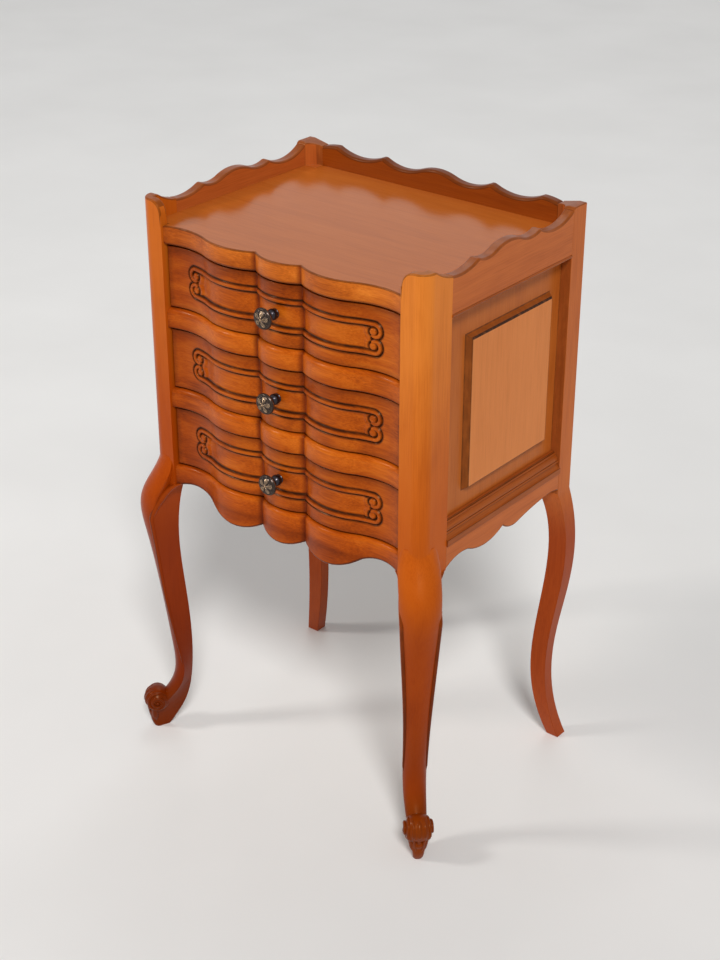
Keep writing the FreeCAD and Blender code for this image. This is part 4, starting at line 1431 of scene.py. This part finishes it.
    def lips(self, leg: Mesh) -> Mesh:
        """The lips that carry the aprons' scalloped edges down the leg's two arrises.

        Args:
            leg: The leg's mesh, with its arrises still sharp.

        Returns:
            The lips' mesh, in place.
        """
        seat = self.seat()
        home = seat.inverted()
        mesh = bmesh.new()
        arrises = []
        for vert in leg.verts:
            sharp = any(edge.is_manifold and edge.calc_face_angle() > SHOP.sharp for edge in vert.link_edges)
            if sharp and self.lip_foot < vert.co.z / MM < self.lip_top:
                arrises.append(home @ vert.co / MM)
        arrises.sort(key=lambda point: -point.z)
        for hand in HANDS:
            lead = self.lead(hand)
            for point in arrises:
                if hand * point.y <= self.lip_lean * point.z:
                    continue
                share = (point.z - self.lip_foot) / (self.lip_top - self.lip_foot)
                radius = self.lip_thin + (self.lip - self.lip_thin) * share
                lateral = hand * (abs(point.y) - radius + self.lip_rise)
                spot = Vector((point.x + self.lip_out * radius, lateral, point.z))
                lead.append((seat @ (spot * MM) / MM, radius))
            points = SHOP.smooth([point * MM for point, radius in lead], 4)
            radii = SHOP.smooth([Vector((radius, 0.0, 0.0)) for point, radius in lead], 4)
            places = SHOP.along(points, taper=0.06)
            rings = [place @ Matrix.Scale(size.x, 4) for place, size in zip(places, radii)]
            SHOP.sweep(mesh, MM, rings, sides=14)
        out = seat.to_3x3() @ Vector((1.0, 0.0, 0.0))
        SHOP.shade(mesh, lambda face: self.lip_shade + self.lip_front_shade * smooth_step(
            *self.lip_turn, face.normal.dot(out)))
        return mesh

    def build(self) -> None:
        """Makes the leg, its lips and its foot's carving."""
        node = f"front_{self.name}_leg"
        mesh = SHOP.blank(node, CASE.leg + self.post_start)
        self.trim(mesh)
        lips = self.lips(mesh)
        SHOP.ease(mesh, Easing(self.crest_round, Zone(z=(CASE.crest, FAR)), segments=5, shade=0.5))
        for near, far, front, back in self.knees:
            across = tuple(sorted((self.side * near, self.side * far)))
            knee = Zone(across, (front, back), self.knee_rise)
            SHOP.ease(mesh, Easing(self.knee_round, knee, segments=5, shade=0.0))
        SHOP.ease(mesh, Easing(self.arris_round, segments=4, shade=0.1))
        SHOP.wear(mesh)
        SHOP.place(mesh, f"{node}_wood", "case", (POST_WOOD,), "show_wood", (node,))
        SHOP.place(lips, f"{node}_lips", "case", (POST_WOOD,), "show_wood", crease=60.0)
        SHOP.place(self.foot(), f"{node}_scroll", "case", (POST_WOOD,), "show_wood", crease=60.0)


@dataclass
class HiddenPieces:
    """What shows only behind the chest or inside it, as it was packed."""

    inwards: tuple[str, ...] = ("runner", "guide", "kicker", "side")

    def build(self) -> None:
        """Gives each piece its bare wood or metal."""
        slots = {row["node"]: row["material_slot"] for row in frame["record"]["subparts"]}
        for node, slot in slots.items():
            if slot == "lining":
                SHOP.dress(node, BARE_WOOD if node.endswith(self.inwards) else BARE_ACROSS)
            elif slot == "screw":
                SHOP.dress(node, ZINC)


@dataclass
class Studio:
    """Camera, pale floor and soft lamps."""

    width: int = 720
    tall: int = 960
    focal_px: float = 1756.7
    azimuth: float = 38.83
    elevation: float = 27.66
    sensor: float = 36.0
    spot: Place = (1.18096, -1.4618, 1.3541)
    floor: float = 30.0
    aim: Place = (0.0, 0.0, 0.45)
    sky_light: float = 0.24
    sky_shown: float = 0.72
    sky_colour: Colour = (0.97, 0.98, 1.0)

    def build(self) -> None:
        """Makes all of the studio."""
        self.camera()
        self.ground()
        self.sky()
        self.light("key_sun", "SUN", (0.50, -0.50, 1.16), 2.0, angle=math.radians(14.0))
        self.light("left_lamp", "AREA", (-2.0, -2.0, 2.2), 30.0, size=0.5, color=(1.0, 0.98, 0.95))
        self.light("window_lamp", "AREA", (-1.2, 1.6, 3.2), 12.0, size=1.4, color=(0.97, 0.98, 1.0))

    def camera(self) -> None:
        """Puts the camera at the picture's viewing angle."""
        data = bpy.data.cameras.new("camera")
        data.sensor_width = self.sensor
        data.lens = self.focal_px * self.sensor / max(self.width, self.tall)
        camera = add_object("camera", data)
        turn, rise = math.radians(self.azimuth), math.radians(self.elevation)
        back = Vector((math.sin(turn) * math.cos(rise), -math.cos(turn) * math.cos(rise), math.sin(rise)))
        camera.location = self.spot
        camera.rotation_mode = "QUATERNION"
        camera.rotation_quaternion = (-back).to_track_quat("-Z", "Y")
        bpy.context.scene.camera = camera

    def ground(self) -> None:
        """Lays the floor."""
        mesh = bmesh.new()
        bmesh.ops.create_grid(mesh, x_segments=4, y_segments=4, size=self.floor)
        data = bpy.data.meshes.new("floor")
        mesh.to_mesh(data)
        mesh.free()
        data.materials.append(FloorFinish().material())
        floor = add_object("floor", data)

    def sky(self) -> None:
        """Makes the sky pale behind the chest and in reflections, and softer as light."""
        world = bpy.data.worlds.new("studio")
        bpy.context.scene.world = world
        world.use_nodes = True
        graph = Graph(world.node_tree, "Background")
        path = graph.add("LightPath").outputs
        seen = path["Is Camera Ray"]
        for name in ("Is Glossy Ray", "Is Transmission Ray"):
            seen = graph.math("MAXIMUM", seen, path[name])
        strength = graph.add("MapRange", Value=seen, To_Min=self.sky_light, To_Max=self.sky_shown)
        graph.surface(Strength=strength.outputs["Result"], Color=self.sky_colour)

    def light(self, name: str, kind: str, spot: Place, power: float, **values: object) -> None:
        """Hangs a soft light that faces the chest.

        Args:
            name: The light's name.
            kind: The kind of light.
            spot: Its place; a sun's gives only its direction.
            power: Its power in watts, or a sun's strength.
            values: Its other properties by name.
        """
        data = bpy.data.lights.new(name, kind)
        data.energy = power
        for key, value in values.items():
            setattr(data, key, value)
        light = add_object(name, data)
        light.location = spot
        light.rotation_euler = (Vector(spot) - Vector(self.aim)).to_track_quat("Z", "Y").to_euler()


def main() -> None:
    """Builds the chest's sub-assemblies in order, then the studio."""
    logging.basicConfig(level=logging.INFO, format="%(name)s: %(message)s")
    bpy.context.scene.view_settings.view_transform = "Standard"
    HiddenPieces().build()
    EasedBoards().build()
    for name, side in SIDES.items():
        SideBeads(name, side).build()
        FrontLeg(name, side).build()
    for count, level in enumerate(LEVELS):
        CarvedFront(level, count).build()
        RosetteKnob(level, count).build()
    Studio().build()


if __name__ == "__main__":
    main()
